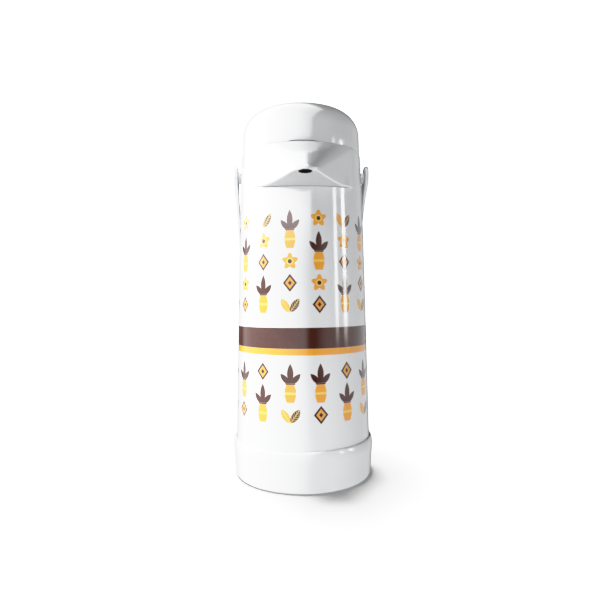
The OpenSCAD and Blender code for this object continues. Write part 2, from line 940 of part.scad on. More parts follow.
module push_button() {
    rim_z = button_top - crown_r + sqrt(pow(crown_r, 2) - pow(button_r, 2));
    skirt_low = rim_z - button_skirt;
    vent_r = 1.5;
    bore_r = button_r - button_wall;
    section = concat(
        crown_line(0, button_r),
        [[button_r, skirt_low], [bore_r, skirt_low]],
        reversed(crown_line(button_wall, bore_r))
    );
    color("white")
        difference() {
            union() {
                rotate_extrude()
                    polygon(section);
                ring(stem_r, stem_r - button_wall, cap_top, button_top - 0.6 * button_wall);
            }
            translate([0, 0, cap_top + 2 * vent_r])
                x_rod(vent_r, -stem_r - over, stem_r + over);
        }
}

body_shell();
beak_floor();
spout_nozzle();
base_cup();
flask_pad();
flask_outer();
flask_inner();
flask_spacers();
neck_gasket();
neck_deck();
deck_screws();
stopper_gasket();
pump_stopper();
siphon_tube();
delivery_tube();
hinge_pin();
handle_pins();
carry_handle();
lid_shell();
lid_plate();
plate_screws();
lid_gasket();
lid_catch();
check_valve();
bellows();
return_spring();
bellows_cap();
intake_valve();
push_button();
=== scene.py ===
"""Glass-lined pump pot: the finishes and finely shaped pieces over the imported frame.

The pot stands on the floor at z = 0 with its beak towards -Y. Each sub-assembly is a
class that holds its sizes in millimetres, builds its meshes in the frame's metres and
dresses them with a procedural finish.
"""

import json
import logging
import math
from dataclasses import dataclass, field
from enum import Enum
from typing import Callable, Optional, Sequence, Union

import bmesh
import bpy
import numpy as np
from mathutils import Matrix, Vector

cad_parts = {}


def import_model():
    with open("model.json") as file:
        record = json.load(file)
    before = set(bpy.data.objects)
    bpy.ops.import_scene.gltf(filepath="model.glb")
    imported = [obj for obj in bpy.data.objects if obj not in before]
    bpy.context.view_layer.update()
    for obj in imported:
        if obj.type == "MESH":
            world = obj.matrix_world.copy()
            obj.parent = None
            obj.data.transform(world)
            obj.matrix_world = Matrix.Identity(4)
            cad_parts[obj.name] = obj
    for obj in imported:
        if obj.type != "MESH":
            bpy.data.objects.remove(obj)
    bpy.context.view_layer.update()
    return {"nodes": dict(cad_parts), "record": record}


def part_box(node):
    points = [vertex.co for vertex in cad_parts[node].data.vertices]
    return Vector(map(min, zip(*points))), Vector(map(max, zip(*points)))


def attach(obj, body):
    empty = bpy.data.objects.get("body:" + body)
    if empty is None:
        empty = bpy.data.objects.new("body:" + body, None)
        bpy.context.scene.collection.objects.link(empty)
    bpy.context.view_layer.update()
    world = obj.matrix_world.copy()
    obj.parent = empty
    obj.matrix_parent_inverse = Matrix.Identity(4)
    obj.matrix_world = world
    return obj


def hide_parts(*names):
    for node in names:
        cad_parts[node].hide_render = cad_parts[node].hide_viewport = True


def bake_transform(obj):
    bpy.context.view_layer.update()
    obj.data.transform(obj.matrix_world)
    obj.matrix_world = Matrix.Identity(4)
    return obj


log = logging.getLogger("pump_pot")

MM = 0.001
Point2 = tuple[float, float]
Point3 = tuple[float, float, float]
Colour = tuple[float, float, float]
SIDES = (-1, 1)
# degrees above which an edge stays sharp, on a built piece and on a CAD node
CREASE = 38.0
CAD_CREASE = 32.0
# millimetres within which points are one, and the cross product of a quad with no area
MERGE = 0.002
FLAT = 1e-6
# steps in a small rounded edge
EDGE_STEPS = 4


class Slot(Enum):
    """The record's material slots."""

    WHITE = "white_plastic"
    GREY = "grey_plastic"
    DARK = "dark_plastic"
    INNER = "inner_plastic"
    TUBE = "tube_plastic"
    GLASS = "silvered_glass"
    RUBBER = "rubber"
    BELLOWS = "bellows_rubber"
    FELT = "felt"
    STEEL = "steel"


class Body(Enum):
    """The bodies that pieces ride on."""

    CASE = "case"
    LID = "lid"
    BUTTON = "button"
    HANDLE = "handle"


# ---------------------------------------------------------------- shader values


def joined_by(operation: str, reflected: bool = False) -> Callable[["Wire", "Value"], "Wire"]:
    """Makes an operator that adds a Math node.

    Args:
        operation: the Math node's operation.
        reflected: True puts the other value first.

    Returns:
        The method for Wire.
    """

    def method(self: "Wire", other: "Value") -> "Wire":
        """Joins self and other by the Math node."""
        values = (other, self) if reflected else (self, other)
        return self.bench.math(operation, *values)

    return method


class Wire:
    """A number, colour or vector that a node puts out, with the operators of shader maths."""

    def __init__(self, bench: "Bench", socket: bpy.types.NodeSocket) -> None:
        """Wraps one output socket of the bench's node tree."""
        self.bench = bench
        self.socket = socket

    __add__ = joined_by("ADD")
    __radd__ = joined_by("ADD", True)
    __sub__ = joined_by("SUBTRACT")
    __rsub__ = joined_by("SUBTRACT", True)
    __mul__ = joined_by("MULTIPLY")
    __rmul__ = joined_by("MULTIPLY", True)
    __truediv__ = joined_by("DIVIDE")
    __rtruediv__ = joined_by("DIVIDE", True)
    __pow__ = joined_by("POWER")
    __mod__ = joined_by("FLOORED_MODULO")
    __lt__ = joined_by("LESS_THAN")
    __gt__ = joined_by("GREATER_THAN")

    def __neg__(self) -> "Wire":
        """Minus self."""
        return self * -1.0

    def __abs__(self) -> "Wire":
        """The size of self."""
        return self.bench.math("ABSOLUTE", self)

    def equals(self, wanted: int) -> "Wire":
        """1 where self, a whole number, is the wanted one."""
        return abs(self - float(wanted)) < 0.5


Value = Union[Wire, float]
# the numbers of the Mix node's colour sockets
MIX_FIRST, MIX_SECOND, MIX_RESULT = 6, 7, 2


class Bench:
    """Builds the node tree of a material or a world."""

    def __init__(self, owner: Union[bpy.types.Material, bpy.types.World]) -> None:
        """Empties the owner's node tree and builds in it.

        Args:
            owner: the material or world.
        """
        owner.use_nodes = True
        self.owner = owner
        self.tree = owner.node_tree
        self.tree.nodes.clear()

    @classmethod
    def for_material(cls, name: str) -> "Bench":
        """A bench for a new material of that name."""
        return cls(bpy.data.materials.new(name))

    def node(
        self,
        kind: str,
        settings: Optional[dict[str, object]] = None,
        inputs: Optional[dict[Union[str, int], object]] = None,
        out: Union[str, int] = 0,
    ) -> Wire:
        """Adds a node.

        Args:
            kind: the node's type name.
            settings: attributes that are set first, such as operation.
            inputs: values or wires by socket name or number.
            out: the output that is wanted.

        Returns:
            The wanted output.
        """
        made = self.tree.nodes.new(kind)
        for key, value in (settings or {}).items():
            setattr(made, key, value)
        for key, value in (inputs or {}).items():
            if isinstance(value, Wire):
                self.tree.links.new(value.socket, made.inputs[key])
            else:
                made.inputs[key].default_value = value
        return Wire(self, made.outputs[out])

    def math(self, operation: str, *values: Value) -> Wire:
        """Adds a Math node on the values, in order, and returns its output."""
        return self.node("ShaderNodeMath", {"operation": operation}, dict(enumerate(values)))

    def mix(self, share: Value, first: object, second: object) -> Wire:
        """Mixes two colours.

        Args:
            share: 0 gives the first colour, 1 the second.
            first: a colour or a wire.
            second: a colour or a wire.

        Returns:
            The mixed colour.
        """
        inputs = {0: share, MIX_FIRST: rgba(first), MIX_SECOND: rgba(second)}
        return self.node("ShaderNodeMix", {"data_type": "RGBA"}, inputs, MIX_RESULT)

    def place(self) -> Wire:
        """Position in the piece's own space, in metres."""
        return self.node("ShaderNodeTexCoord", None, None, "Object")

    def xyz_mm(self) -> tuple[Wire, Wire, Wire]:
        """The position's three parts in millimetres."""
        sizes = {0: self.place(), "Scale": 1 / MM}
        return self.parts(self.node("ShaderNodeVectorMath", {"operation": "SCALE"}, sizes))

    def parts(self, vector: Wire) -> tuple[Wire, Wire, Wire]:
        """The three parts of a vector."""
        split = self.node("ShaderNodeSeparateXYZ", None, {0: vector}).socket.node
        return tuple(Wire(self, part) for part in split.outputs)

    def span(self, value: Value, low: float, high: float, to_low: float, to_high: float) -> Wire:
        """Maps value from low..high to to_low..to_high, held at the ends."""
        ends = {1: low, 2: high, 3: to_low, 4: to_high}
        return self.node("ShaderNodeMapRange", None, {0: value, **ends})

    def highest(self, first: Value, second: Value) -> Wire:
        """The higher of two values."""
        return self.math("MAXIMUM", first, second)

    def dot(self, vector: Wire, fixed: Sequence[float]) -> Wire:
        """The dot product of a vector with a fixed one."""
        ends = {0: vector, 1: tuple(fixed)}
        return self.node("ShaderNodeVectorMath", {"operation": "DOT_PRODUCT"}, ends, "Value")

    def smooth(self, value: Value, low: float, high: float) -> Wire:
        """0 below low, 1 above high and a smooth step between."""
        kind = {"interpolation_type": "SMOOTHSTEP"}
        return self.node("ShaderNodeMapRange", kind, {0: value, 1: low, 2: high})

    def bump(self, height: Wire, depth: float) -> Wire:
        """A normal bent by a height field whose 0 to 1 stands for depth in metres."""
        sizes = {"Height": height, "Strength": 1.0, "Distance": depth}
        return self.node("ShaderNodeBump", None, sizes)

    def finish(self, **sockets: object) -> bpy.types.Material:
        """Ends the tree in one Principled shader.

        Args:
            sockets: socket names with _ for a space, and a value, colour or wire for each.

        Returns:
            The finished material.
        """
        inputs = {key.replace("_", " "): value for key, value in sockets.items()}
        self.output(self.node("ShaderNodeBsdfPrincipled", None, inputs), "Material")
        return self.owner

    def output(self, surface: Wire, kind: str) -> None:
        """Ends the tree in an output node of that kind."""
        end = self.tree.nodes.new(f"ShaderNodeOutput{kind}")
        self.tree.links.new(surface.socket, end.inputs["Surface"])


def rgba(colour: object) -> object:
    """Readies a colour for a node's socket.

    Args:
        colour: three or four numbers, or a wire.

    Returns:
        Three numbers as four, and anything else as it is.
    """
    if isinstance(colour, Wire) or len(colour) == 4:
        return colour
    return (*colour, 1.0)


def from_screen(red: int, green: int, blue: int) -> Colour:
    """Turns a screen colour into the renderer's linear values.

    Args:
        red: 0 to 255.
        green: 0 to 255.
        blue: 0 to 255.

    Returns:
        The linear colour.
    """
    knee, slope, foot, power = 0.04045, 12.92, 0.055, 2.4

    def part(level: int) -> float:
        """One channel in linear light."""
        share = level / 255
        return share / slope if share <= knee else ((share + foot) / (1 + foot)) ** power

    return part(red), part(green), part(blue)


# ---------------------------------------------------------------- finishes


@dataclass(frozen=True)
class Grain:
    """Noise over a piece, in cells per metre; levels are the two that become 0 and 1."""

    scale: float
    detail: float = 3.0
    rough: float = 0.5
    levels: Optional[Point2] = None

    def on(self, bench: Bench) -> Wire:
        """Adds the noise to a material.

        Args:
            bench: the material's node bench.

        Returns:
            The noise, between 0 and 1.
        """
        sizes = {"Scale": self.scale, "Detail": self.detail, "Roughness": self.rough}
        noise = bench.node("ShaderNodeTexNoise", None, {"Vector": bench.place(), **sizes})
        return bench.span(noise, *self.levels, 0.0, 1.0) if self.levels else noise


@dataclass(frozen=True)
class Finish:
    """A surface with a relief and some soil: dust, tarnish, streaks or fibres of another tone.

    The tint is how much of the soil's colour shows, and the blur what it adds to the
    roughness. Depths are in metres.
    """

    name: str
    colour: Colour
    roughness: float = 0.5
    metallic: float = 0.0
    ior: float = 1.5
    relief: Optional[Grain] = None
    depth: float = 0.0
    soil: Grain = Grain(100.0)
    soil_colour: Colour = (0.3, 0.3, 0.3)
    tint: float = 0.0
    blur: float = 0.0

    def sockets(self, bench: Bench) -> dict[str, object]:
        """Works the surface out.

        Args:
            bench: the material's node bench.

        Returns:
            Values and wires by Principled socket name, with _ for a space.
        """
        soil = self.soil.on(bench)
        made = {
            "Base_Color": bench.mix(soil * self.tint, self.colour, self.soil_colour),
            "Roughness": self.roughness + soil * self.blur,
            "Metallic": self.metallic,
            "IOR": self.ior,
        }
        if self.relief:
            made["Normal"] = bench.bump(self.relief.on(bench), self.depth)
        return made

    def material(self) -> bpy.types.Material:
        """Builds the material."""
        bench = Bench.for_material(self.name)
        return bench.finish(**self.sockets(bench))


@dataclass(frozen=True)
class MouldedPlastic(Finish):
    """Injection-moulded plastic with a faint flow ripple, fine pores, smudges and specks."""

    roughness: float = 0.2
    coat: float = 0.0
    coat_roughness: float = 0.06
    relief: Grain = Grain(22.0, 2.0)
    depth: float = 0.000012
    pores: Grain = Grain(2600.0, 1.0)
    pore_depth: float = 0.0000004
    soil: Grain = Grain(38.0, 4.0, 0.6, (0.42, 0.68))
    soil_colour: Colour = (0.55, 0.52, 0.48)
    tint: float = 0.03
    blur: float = 0.08
    specks: Grain = Grain(900.0, 2.0, levels=(0.66, 0.74))
    speck_tint: float = 0.02
    speck_blur: float = 0.05

    def sockets(self, bench: Bench) -> dict[str, object]:
        """Plain plastic's values and wires by socket name."""
        return self.surface(bench, rgba(self.colour))

    def surface(self, bench: Bench, colour: object) -> dict[str, object]:
        """The shader sockets for plastic of that colour.

        Args:
            bench: the material's node bench.
            colour: a plain colour or a wire.

        Returns:
            Values and wires by Principled socket name.
        """
        smudge = self.soil.on(bench)
        specks = self.specks.on(bench)
        skin = self.relief.on(bench) * self.depth + self.pores.on(bench) * self.pore_depth
        soiled = smudge * self.tint + specks * self.speck_tint
        return {
            "Base_Color": bench.mix(soiled, colour, self.soil_colour),
            "Roughness": self.roughness + smudge * self.blur + specks * self.speck_blur,
            "Normal": bench.bump(skin / self.depth, self.depth),
            "Coat_Weight": self.coat,
            "Coat_Roughness": self.coat_roughness,
            "IOR": self.ior,
        }


@dataclass(frozen=True)
class Rubber(Finish):
    """Matt rubber with a dusty bloom and a fine pebbled skin."""

    roughness: float = 0.62
    relief: Grain = Grain(3200.0, 2.0)
    depth: float = 0.00003
    soil: Grain = Grain(120.0, 5.0, 0.65, (0.45, 0.75))
    tint: float = 0.25
    blur: float = 0.2


@dataclass(frozen=True)
class DrawnSteel(Finish):
    """Drawn steel with fine lines along one axis and a little tarnish."""

    colour: Colour = (0.56, 0.57, 0.58)
    roughness: float = 0.28
    metallic: float = 1.0
    stretch: Point3 = (60.0, 4000.0, 4000.0)
    line_blur: float = 0.12
    depth: float = 0.00001
    soil: Grain = Grain(300.0, 4.0, levels=(0.5, 0.8))
    soil_colour: Colour = (0.3, 0.28, 0.26)
    tint: float = 0.3
    blur: float = 0.15

    def sockets(self, bench: Bench) -> dict[str, object]:
        """Adds lines, from noise that is stretched along X, to the surface.

        Args:
            bench: the material's node bench.

        Returns:
            Values and wires by Principled socket name.
        """
        made = super().sockets(bench)
        ends = {"Vector": bench.place(), "Scale": self.stretch}
        stretched = bench.node("ShaderNodeMapping", None, ends)
        lines = bench.node("ShaderNodeTexNoise", None, {"Vector": stretched, "Scale": 1.0})
        made["Roughness"] = made["Roughness"] + lines * self.line_blur
        made["Normal"] = bench.bump(lines, self.depth)
        return made


@dataclass(frozen=True)
class SilveredGlass(Finish):
    """Blown glass silvered on its hidden side, with slight waves and brownish streaks."""

    colour: Colour = (0.78, 0.79, 0.8)
    roughness: float = 0.06
    metallic: float = 0.9
    relief: Grain = Grain(30.0)
    depth: float = 0.0002
    soil: Grain = Grain(60.0, 5.0, 0.7, (0.5, 0.8))
    soil_colour: Colour = (0.5, 0.47, 0.42)
    tint: float = 0.3
    blur: float = 0.12


@dataclass(frozen=True)
class PressedFelt(Finish):
    """Pressed fibre pad, shaded from fibre to fibre."""

    roughness: float = 0.9
    relief: Grain = Grain(4000.0, 6.0, 0.8)
    depth: float = 0.0002
    soil: Grain = Grain(4000.0, 6.0, 0.8)
    tint: float = 1.0
    blur: float = 0.08


@dataclass(frozen=True)
class FloorPaper(Finish):
    """Plain matt paper with a faint grain."""

    colour: Colour = (0.5, 0.5, 0.5)
    roughness: float = 0.85
    ior: float = 1.45
    soil: Grain = Grain(300.0, 4.0)
    soil_colour: Colour = (0.47, 0.47, 0.47)
    tint: float = 0.03
    blur: float = 0.05


@dataclass(frozen=True)
class Leaf:
    """A pointed leaf: the drop to its foot, its lean from upright in degrees and its half sizes."""

    drop: float
    lean: float
    half_l: float
    half_w: float


@dataclass(frozen=True)
class PrintedPlastic(MouldedPlastic):
    """Gloss plastic with a wrap-round print: rows of small plant motifs and a plain band."""

    brown: Colour = from_screen(74, 33, 24)
    amber: Colour = from_screen(242, 165, 48)
    yellow: Colour = from_screen(250, 212, 84)
    columns: int = 15
    wrap_r: float = 61.0
    edge: float = 0.14
    upper_top: float = 243.0
    upper_pitch: float = 18.4
    upper_rows: int = 5
    lower_top: float = 111.5
    lower_pitch: float = 18.0
    lower_rows: int = 3
    band: Point2 = (122.6, 140.4)
    stripe: Point2 = (117.0, 122.6)
    cycle: int = 3
    late_row: float = 3.0
    blade: Leaf = Leaf(6.8, 34.0, 7.2, 3.1)
    rib_half: float = 0.22
    vein_slope: float = 0.9
    vein_pitch: float = 2.3
    vein_half: float = 0.3
    petals: float = 5.0
    petal_wave: float = 1.4
    flower_r: float = 5.9
    ring_r: float = 3.0
    eye_r: float = 1.9
    lozenge_half: Point2 = (6.2, 7.8)
    lozenge_sizes: Point3 = (1.0, 0.66, 0.3)
    lozenge_edge: float = 4.0
    middle_leaf: Leaf = Leaf(1.0, 0.0, 8.8, 2.7)
    low_leaf: Leaf = Leaf(1.5, 42.0, 6.4, 2.4)
    plant: Point2 = (0.0, 17.5)
    vase: Point2 = (-16.5, -1.2)
    vase_half: float = 3.3
    vase_swell: float = 1.7
    vase_wave: float = 0.21
    vase_from: float = 16.0
    hoop: Point2 = (-9.6, -7.8)
    rim: Point2 = (-1.2, 0.0)
    rim_half: float = 4.2

    def inside(self, bench: Bench, distance: Wire) -> Wire:
        """1 where a signed distance in mm is negative, with a soft edge."""
        return bench.span(distance, -self.edge, self.edge, 1.0, 0.0)

    def between(self, bench: Bench, value: Wire, limits: Point2) -> Wire:
        """1 where value lies between two limits, with soft edges."""
        middle, half = 0.5 * (limits[0] + limits[1]), 0.5 * (limits[1] - limits[0])
        return self.inside(bench, abs(value - middle) - half)

    def leaf(self, bench: Bench, u: Wire, v: Wire, shape: Leaf) -> tuple[Wire, Wire]:
        """A pointed leaf.

        Args:
            bench: the material's bench.
            u: across, in mm.
            v: up, in mm.
            shape: its place, lean and sizes.

        Returns:
            The leaf's mask and the mask of its veins.
        """
        v = v + shape.drop
        along, across = math.sin(math.radians(shape.lean)), math.cos(math.radians(shape.lean))
        p = u * along + v * across - shape.half_l
        q = abs(u * across - v * along)
        bow = (shape.half_l**2 + shape.half_w**2) / (2 * shape.half_w)
        far = bench.math("SQRT", p * p + (q + (bow - shape.half_w)) ** 2.0)
        mask = self.inside(bench, far - bow)
        rib = self.inside(bench, q - self.rib_half)
        vein = self.inside(bench, (p - q * self.vein_slope) % self.vein_pitch - self.vein_half)
        return mask, mask * bench.highest(rib, vein)

    def flower(self, bench: Bench, u: Wire, v: Wire) -> tuple[Wire, Wire, Wire]:
        """A flower with waved petals.

        Args:
            bench: the material's bench.
            u: across, in mm.
            v: up, in mm.

        Returns:
            The masks of its petals, ring and eye.
        """
        far = bench.math("SQRT", u * u + v * v)
        petals = bench.math("COSINE", bench.math("ARCTAN2", u, v) * self.petals)
        outer = self.inside(bench, far - (petals * self.petal_wave + self.flower_r))
        return outer, self.inside(bench, far - self.ring_r), self.inside(bench, far - self.eye_r)

    def lozenge(self, bench: Bench, u: Wire, v: Wire) -> tuple[Wire, ...]:
        """Lozenges, one inside the other.

        Args:
            bench: the material's bench.
            u: across, in mm.
            v: up, in mm.

        Returns:
            The mask of each, from the outermost.
        """
        far = abs(u) / self.lozenge_half[0] + abs(v) / self.lozenge_half[1]
        return tuple(
            self.inside(bench, (far - size) * self.lozenge_edge) for size in self.lozenge_sizes
        )

    def potted(self, bench: Bench, u: Wire, v: Wire) -> tuple[Wire, Wire, Wire]:
        """A tall plant in a vase.

        Args:
            bench: the material's bench.
            u: across, in mm.
            v: up from the vase's rim, in mm.

        Returns:
            The masks of the plant with the rim, of the vase and of the hoop round it.
        """
        side = abs(u)
        middle, _ = self.leaf(bench, side, v, self.middle_leaf)
        low, _ = self.leaf(bench, side, v, self.low_leaf)
        leaves = bench.highest(middle, low) * self.between(bench, v, self.plant)
        swell = bench.math("SINE", (v + self.vase_from) * self.vase_wave) * self.vase_swell
        belly = self.vase_half + swell
        vase = self.inside(bench, side - belly) * self.between(bench, v, self.vase)
        hoop = vase * self.between(bench, v, self.hoop)
        rim = self.inside(bench, side - self.rim_half) * self.between(bench, v, self.rim)
        return bench.highest(leaves, rim), vase - hoop, hoop

    def layers(self, bench: Bench) -> tuple[Wire, Wire, Wire]:
        """Lays the print out: small motifs in columns, with a tall plant in each.

        Args:
            bench: the material's bench.

        Returns:
            The print's brown, amber and yellow masks over the case.
        """
        x, y, z = bench.xyz_mm()
        turn = bench.math("ARCTAN2", x, -y) / (2 * math.pi)
        place = turn * float(self.columns) + float(self.columns)
        column = bench.math("FLOOR", place)
        u = (place - column - 0.5) * (2 * math.pi * self.wrap_r / self.columns)
        low = z < self.band[1]

        def zoned(upper: float, lower: float) -> Wire:
            """The value above the band and the one below it."""
            return upper + low * (lower - upper)

        top = zoned(self.upper_top, self.lower_top)
        pitch = zoned(self.upper_pitch, self.lower_pitch)
        down = (top - z) / pitch
        row = bench.math("FLOOR", down)
        v = (row + 0.5 - down) * pitch
        last = zoned(self.upper_rows, self.lower_rows) - 0.5
        zone = (row > -0.5) * (row < last)
        kind = column % float(self.cycle)
        first, second = kind.equals(0), kind.equals(1)
        start = (first + second * self.late_row) * (1 - low) + low * second
        tall_z = top - (start + 1.0) * pitch
        tall = abs(z - tall_z) < pitch
        plant, vase, hoop = self.potted(bench, u, z - tall_z)
        small = zone * (1 - tall)
        choice = (column + row * 2.0 + low) % float(self.cycle)
        petals, ring, eye = self.flower(bench, u, v)
        blade, veins = self.leaf(bench, abs(u), v, self.blade)
        left = u < 0.0
        outer, middle, core = self.lozenge(bench, u, v)
        is_flower, is_leaf, is_lozenge = (small * choice.equals(n) for n in range(self.cycle))
        tall = tall * zone
        band = self.between(bench, z, self.band)
        stripe = self.between(bench, z, self.stripe)
        brown = is_flower * eye + is_leaf * (blade - veins) * (1 - left)
        brown = brown + is_lozenge * (outer - middle + core) + tall * plant + band
        amber = is_flower * (petals - ring) + is_leaf * (blade - veins) * left
        amber = amber + is_lozenge * (middle - core) + tall * vase + stripe
        yellow = is_flower * (ring - eye) + is_leaf * veins + tall * hoop
        return brown, amber, yellow

    def sockets(self, bench: Bench) -> dict[str, object]:
        """Printed plastic with one ink over the other.

        Args:
            bench: the material's node bench.

        Returns:
            Values and wires by Principled socket name.
        """
        brown, amber, yellow = self.layers(bench)
        colour = bench.mix(yellow, rgba(self.colour), self.yellow)
        colour = bench.mix(amber, colour, self.amber)
        return self.surface(bench, bench.mix(brown, colour, self.brown))


# ---------------------------------------------------------------- meshes


@dataclass(frozen=True)
class Role:
    """The CAD node that a piece stands for, the body that it rides on and its slot."""

    node: str
    body: Body = Body.CASE
    slot: Slot = Slot.WHITE


def add_object(name: str, data: bpy.types.ID) -> bpy.types.Object:
    """Adds an object that shows a mesh, a light or a camera to the scene.

    Args:
        name: the object's name.
        data: what it shows.

    Returns:
        The object.
    """
    made = bpy.data.objects.new(name, data)
    bpy.context.scene.collection.objects.link(made)
    return made


def dress(mesh: bpy.types.Mesh, finish: bpy.types.Material, crease: float) -> None:
    """Gives a mesh its one finish and smooth faces.

    Args:
        mesh: the mesh.
        finish: its material.
        crease: the angle in degrees above which an edge stays sharp.
    """
    mesh.materials.clear()
    mesh.materials.append(finish)
    mesh.shade_smooth()
    mesh.set_sharp_from_angle(angle=math.radians(crease))


def around(radius: float, angle: float, height: float) -> Point3:
    """The place at a radius and height, at an angle from the front; takes arrays as well."""
    return radius * np.sin(angle), -radius * np.cos(angle), height


def from_front(angle: float) -> float:
    """An angle round the axis as one between minus and plus half a turn."""
    return (angle + math.pi) % (2 * math.pi) - math.pi


def held(share: float) -> float:
    """A share held between 0 and 1."""
    return min(1.0, max(0.0, share))


def eased(share: float) -> float:
    """A share that starts and ends gently."""
    return share * share * (3 - 2 * share)


@dataclass
class Skin:
    """Points in millimetres with the faces between them."""

    points: list[Point3] = field(default_factory=list)
    faces: list[tuple[int, ...]] = field(default_factory=list)

    def add(self, other: "Skin") -> "Skin":
        """Takes in another skin.

        Args:
            other: the other skin.

        Returns:
            This skin.
        """
        start = len(self.points)
        self.points.extend(other.points)
        self.faces.extend(tuple(start + i for i in face) for face in other.faces)
        return self

    def moved(self, y: float) -> "Skin":
        """Shifts the skin along Y and returns it."""
        self.points = [(px, py + y, pz) for px, py, pz in self.points]
        return self

    def add_grid(self, rows: np.ndarray, closed: bool) -> list[list[int]]:
        """Adds rows of points and the quads between them.

        Args:
            rows: an array of shape (rows, columns, 3).
            closed: True joins the last column to the first.

        Returns:
            The point numbers, row by row.
        """
        start = len(self.points)
        count, width = rows.shape[:2]
        self.points.extend(tuple(p) for p in rows.reshape(-1, 3).tolist())
        index = [[start + i * width + j for j in range(width)] for i in range(count)]
        for i in range(count - 1):
            self.bridge(index[i], index[i + 1], closed)
        return index

    def add_capped(self, rows: np.ndarray) -> "Skin":
        """Adds rows of points, each closed round, with a face at either end.

        Args:
            rows: an array of shape (rows, columns, 3).

        Returns:
            This skin.
        """
        index = self.add_grid(rows, True)
        self.faces.append(tuple(index[0]))
        self.faces.append(tuple(reversed(index[-1])))
        return self

    def bridge(self, low: Sequence[int], high: Sequence[int], closed: bool) -> None:
        """Joins two rows of the same length by quads.

        Args:
            low: the point numbers of one row.
            high: the point numbers of the other.
            closed: True joins the rows' ends as well.
        """
        width = len(low)
        for j in range(width if closed else width - 1):
            k = (j + 1) % width
            self.faces.append((low[j], low[k], high[k], high[j]))

    def piece(self, name: str, finish: bpy.types.Material, role: Role) -> bpy.types.Object:
        """Makes the skin a smooth-shaded piece of the pot.

        Args:
            name: the object's name.
            finish: its material.
            role: its body and replaced node; its slot is not used.

        Returns:
            The new object, in metres.
        """
        made = self.plain_object(name, finish)
        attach(made, role.body.value)
        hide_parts(role.node)
        return made

    def plain_object(self, name: str, finish: bpy.types.Material) -> bpy.types.Object:
        """Makes the skin a mesh object with merged points and outward normals.

        Args:
            name: the object's name.
            finish: its material.

        Returns:
            The new object, in metres.
        """
        mesh = bpy.data.meshes.new(name)
        mesh.from_pydata([tuple(MM * c for c in p) for p in self.points], [], self.faces)
        work = bmesh.new()
        work.from_mesh(mesh)
        bmesh.ops.remove_doubles(work, verts=work.verts, dist=MERGE * MM)
        bmesh.ops.recalc_face_normals(work, faces=work.faces)
        work.to_mesh(mesh)
        work.free()
        mesh.validate()
        dress(mesh, finish, CREASE)
        return add_object(name, mesh)


def carve(target: bpy.types.Object, tool: Skin) -> None:
    """Cuts a skin out of a piece and keeps the result as the piece's mesh.

    Args:
        target: the piece.
        tool: the skin whose inside is taken away.
    """
    cutter = tool.plain_object("cutter", target.data.materials[0])
    cut = target.modifiers.new("cut", "BOOLEAN")
    cut.operation = "DIFFERENCE"
    cut.solver = "EXACT"
    cut.object = cutter
    bpy.context.view_layer.update()
    depsgraph = bpy.context.evaluated_depsgraph_get()
    result = bpy.data.meshes.new_from_object(target.evaluated_get(depsgraph))
    target.modifiers.clear()
    target.data = result
    result.shade_smooth()
    result.set_sharp_from_angle(angle=math.radians(CREASE))
    bpy.data.objects.remove(cutter)


def rounded_path(corners: Sequence[Point3], closed: bool, steps: int = 5) -> list[Point2]:
    """Rounds a path's corners, with the same number of points whatever its shape.

    Args:
        corners: each corner as (a, b, radius).
        closed: True where the last corner joins the first.
        steps: the number of steps in each rounded corner.

    Returns:
        The path's points.
    """
    path: list[Point2] = []
    count = len(corners)
    for i, (x, y, radius) in enumerate(corners):
        ends = (i == 0 or i == count - 1) and not closed
        if ends or radius <= 0:
            path.append((x, y))
            continue
        here = np.array([x, y])
        before = np.array(corners[i - 1][:2]) - here
        after = np.array(corners[(i + 1) % count][:2]) - here
        path.extend(_corner(here, before, after, radius, steps))
    return path


def _corner(
    here: np.ndarray, before: np.ndarray, after: np.ndarray, radius: float, steps: int
) -> list[Point2]:
    """Rounds one corner, within half of its shorter leg.

    Args:
        here: the corner.
        before: the way to the corner before.
        after: the way to the corner after.
        radius: the wanted radius.
        steps: the number of steps round it.

    Returns:
        The corner's points, all in one place where it is too short or straight to round.
    """
    nearly_half, tiny, straight = 0.49, 1e-6, 1e-3
    room = nearly_half * min(np.hypot(*before), np.hypot(*after))
    if room < tiny:
        return [tuple(here)] * (steps + 1)
    u, v = before / np.hypot(*before), after / np.hypot(*after)
    half = 0.5 * math.acos(max(-1.0, min(1.0, float(u @ v))))
    if half < straight or abs(half - math.pi / 2) < straight:
        return [tuple(here)] * (steps + 1)
    reach = min(room, radius / math.tan(half))
    radius = reach * math.tan(half)
    axis = (u + v) / np.hypot(*(u + v))
    centre = here + axis * radius / math.sin(half)
    first, last = here + u * reach - centre, here + v * reach - centre
    turn = math.pi - 2 * half
    points = []
    for share in (k / steps for k in range(steps + 1)):
        blend = math.sin((1 - share) * turn) * first + math.sin(share * turn) * last
        points.append(tuple(centre + blend / math.sin(turn)))
    return points


def plain(points: Sequence[Point2]) -> list[Point3]:
    """Points as corners that aren't rounded."""
    return [(*point, 0.0) for point in points]


def turned(
    path: Sequence[Point2],
    steps: int = 192,
    reshape: Optional[Callable[[float, float, float], Point2]] = None,
) -> Skin:
    """Turns a closed path of (radius, height) about the pot's axis.

    Args:
        path: the section's points, which join up at the end.
        steps: the number of steps round the axis.
        reshape: gives a point's radius and height for an angle from the front in radians.

    Returns:
        The closed skin.
    """
    angles = [2 * math.pi * j / steps for j in range(steps)]
    rows = np.zeros((len(path), steps, 3))
    for i, (radius, height) in enumerate(path):
        for j, angle in enumerate(angles):
            r, z = reshape(angle, radius, height) if reshape else (radius, height)
            rows[i, j] = around(r, angle, z)
    skin = Skin()
    index = skin.add_grid(rows, True)
    skin.bridge(index[-1], index[0], True)
    return drop_flat_faces(skin)


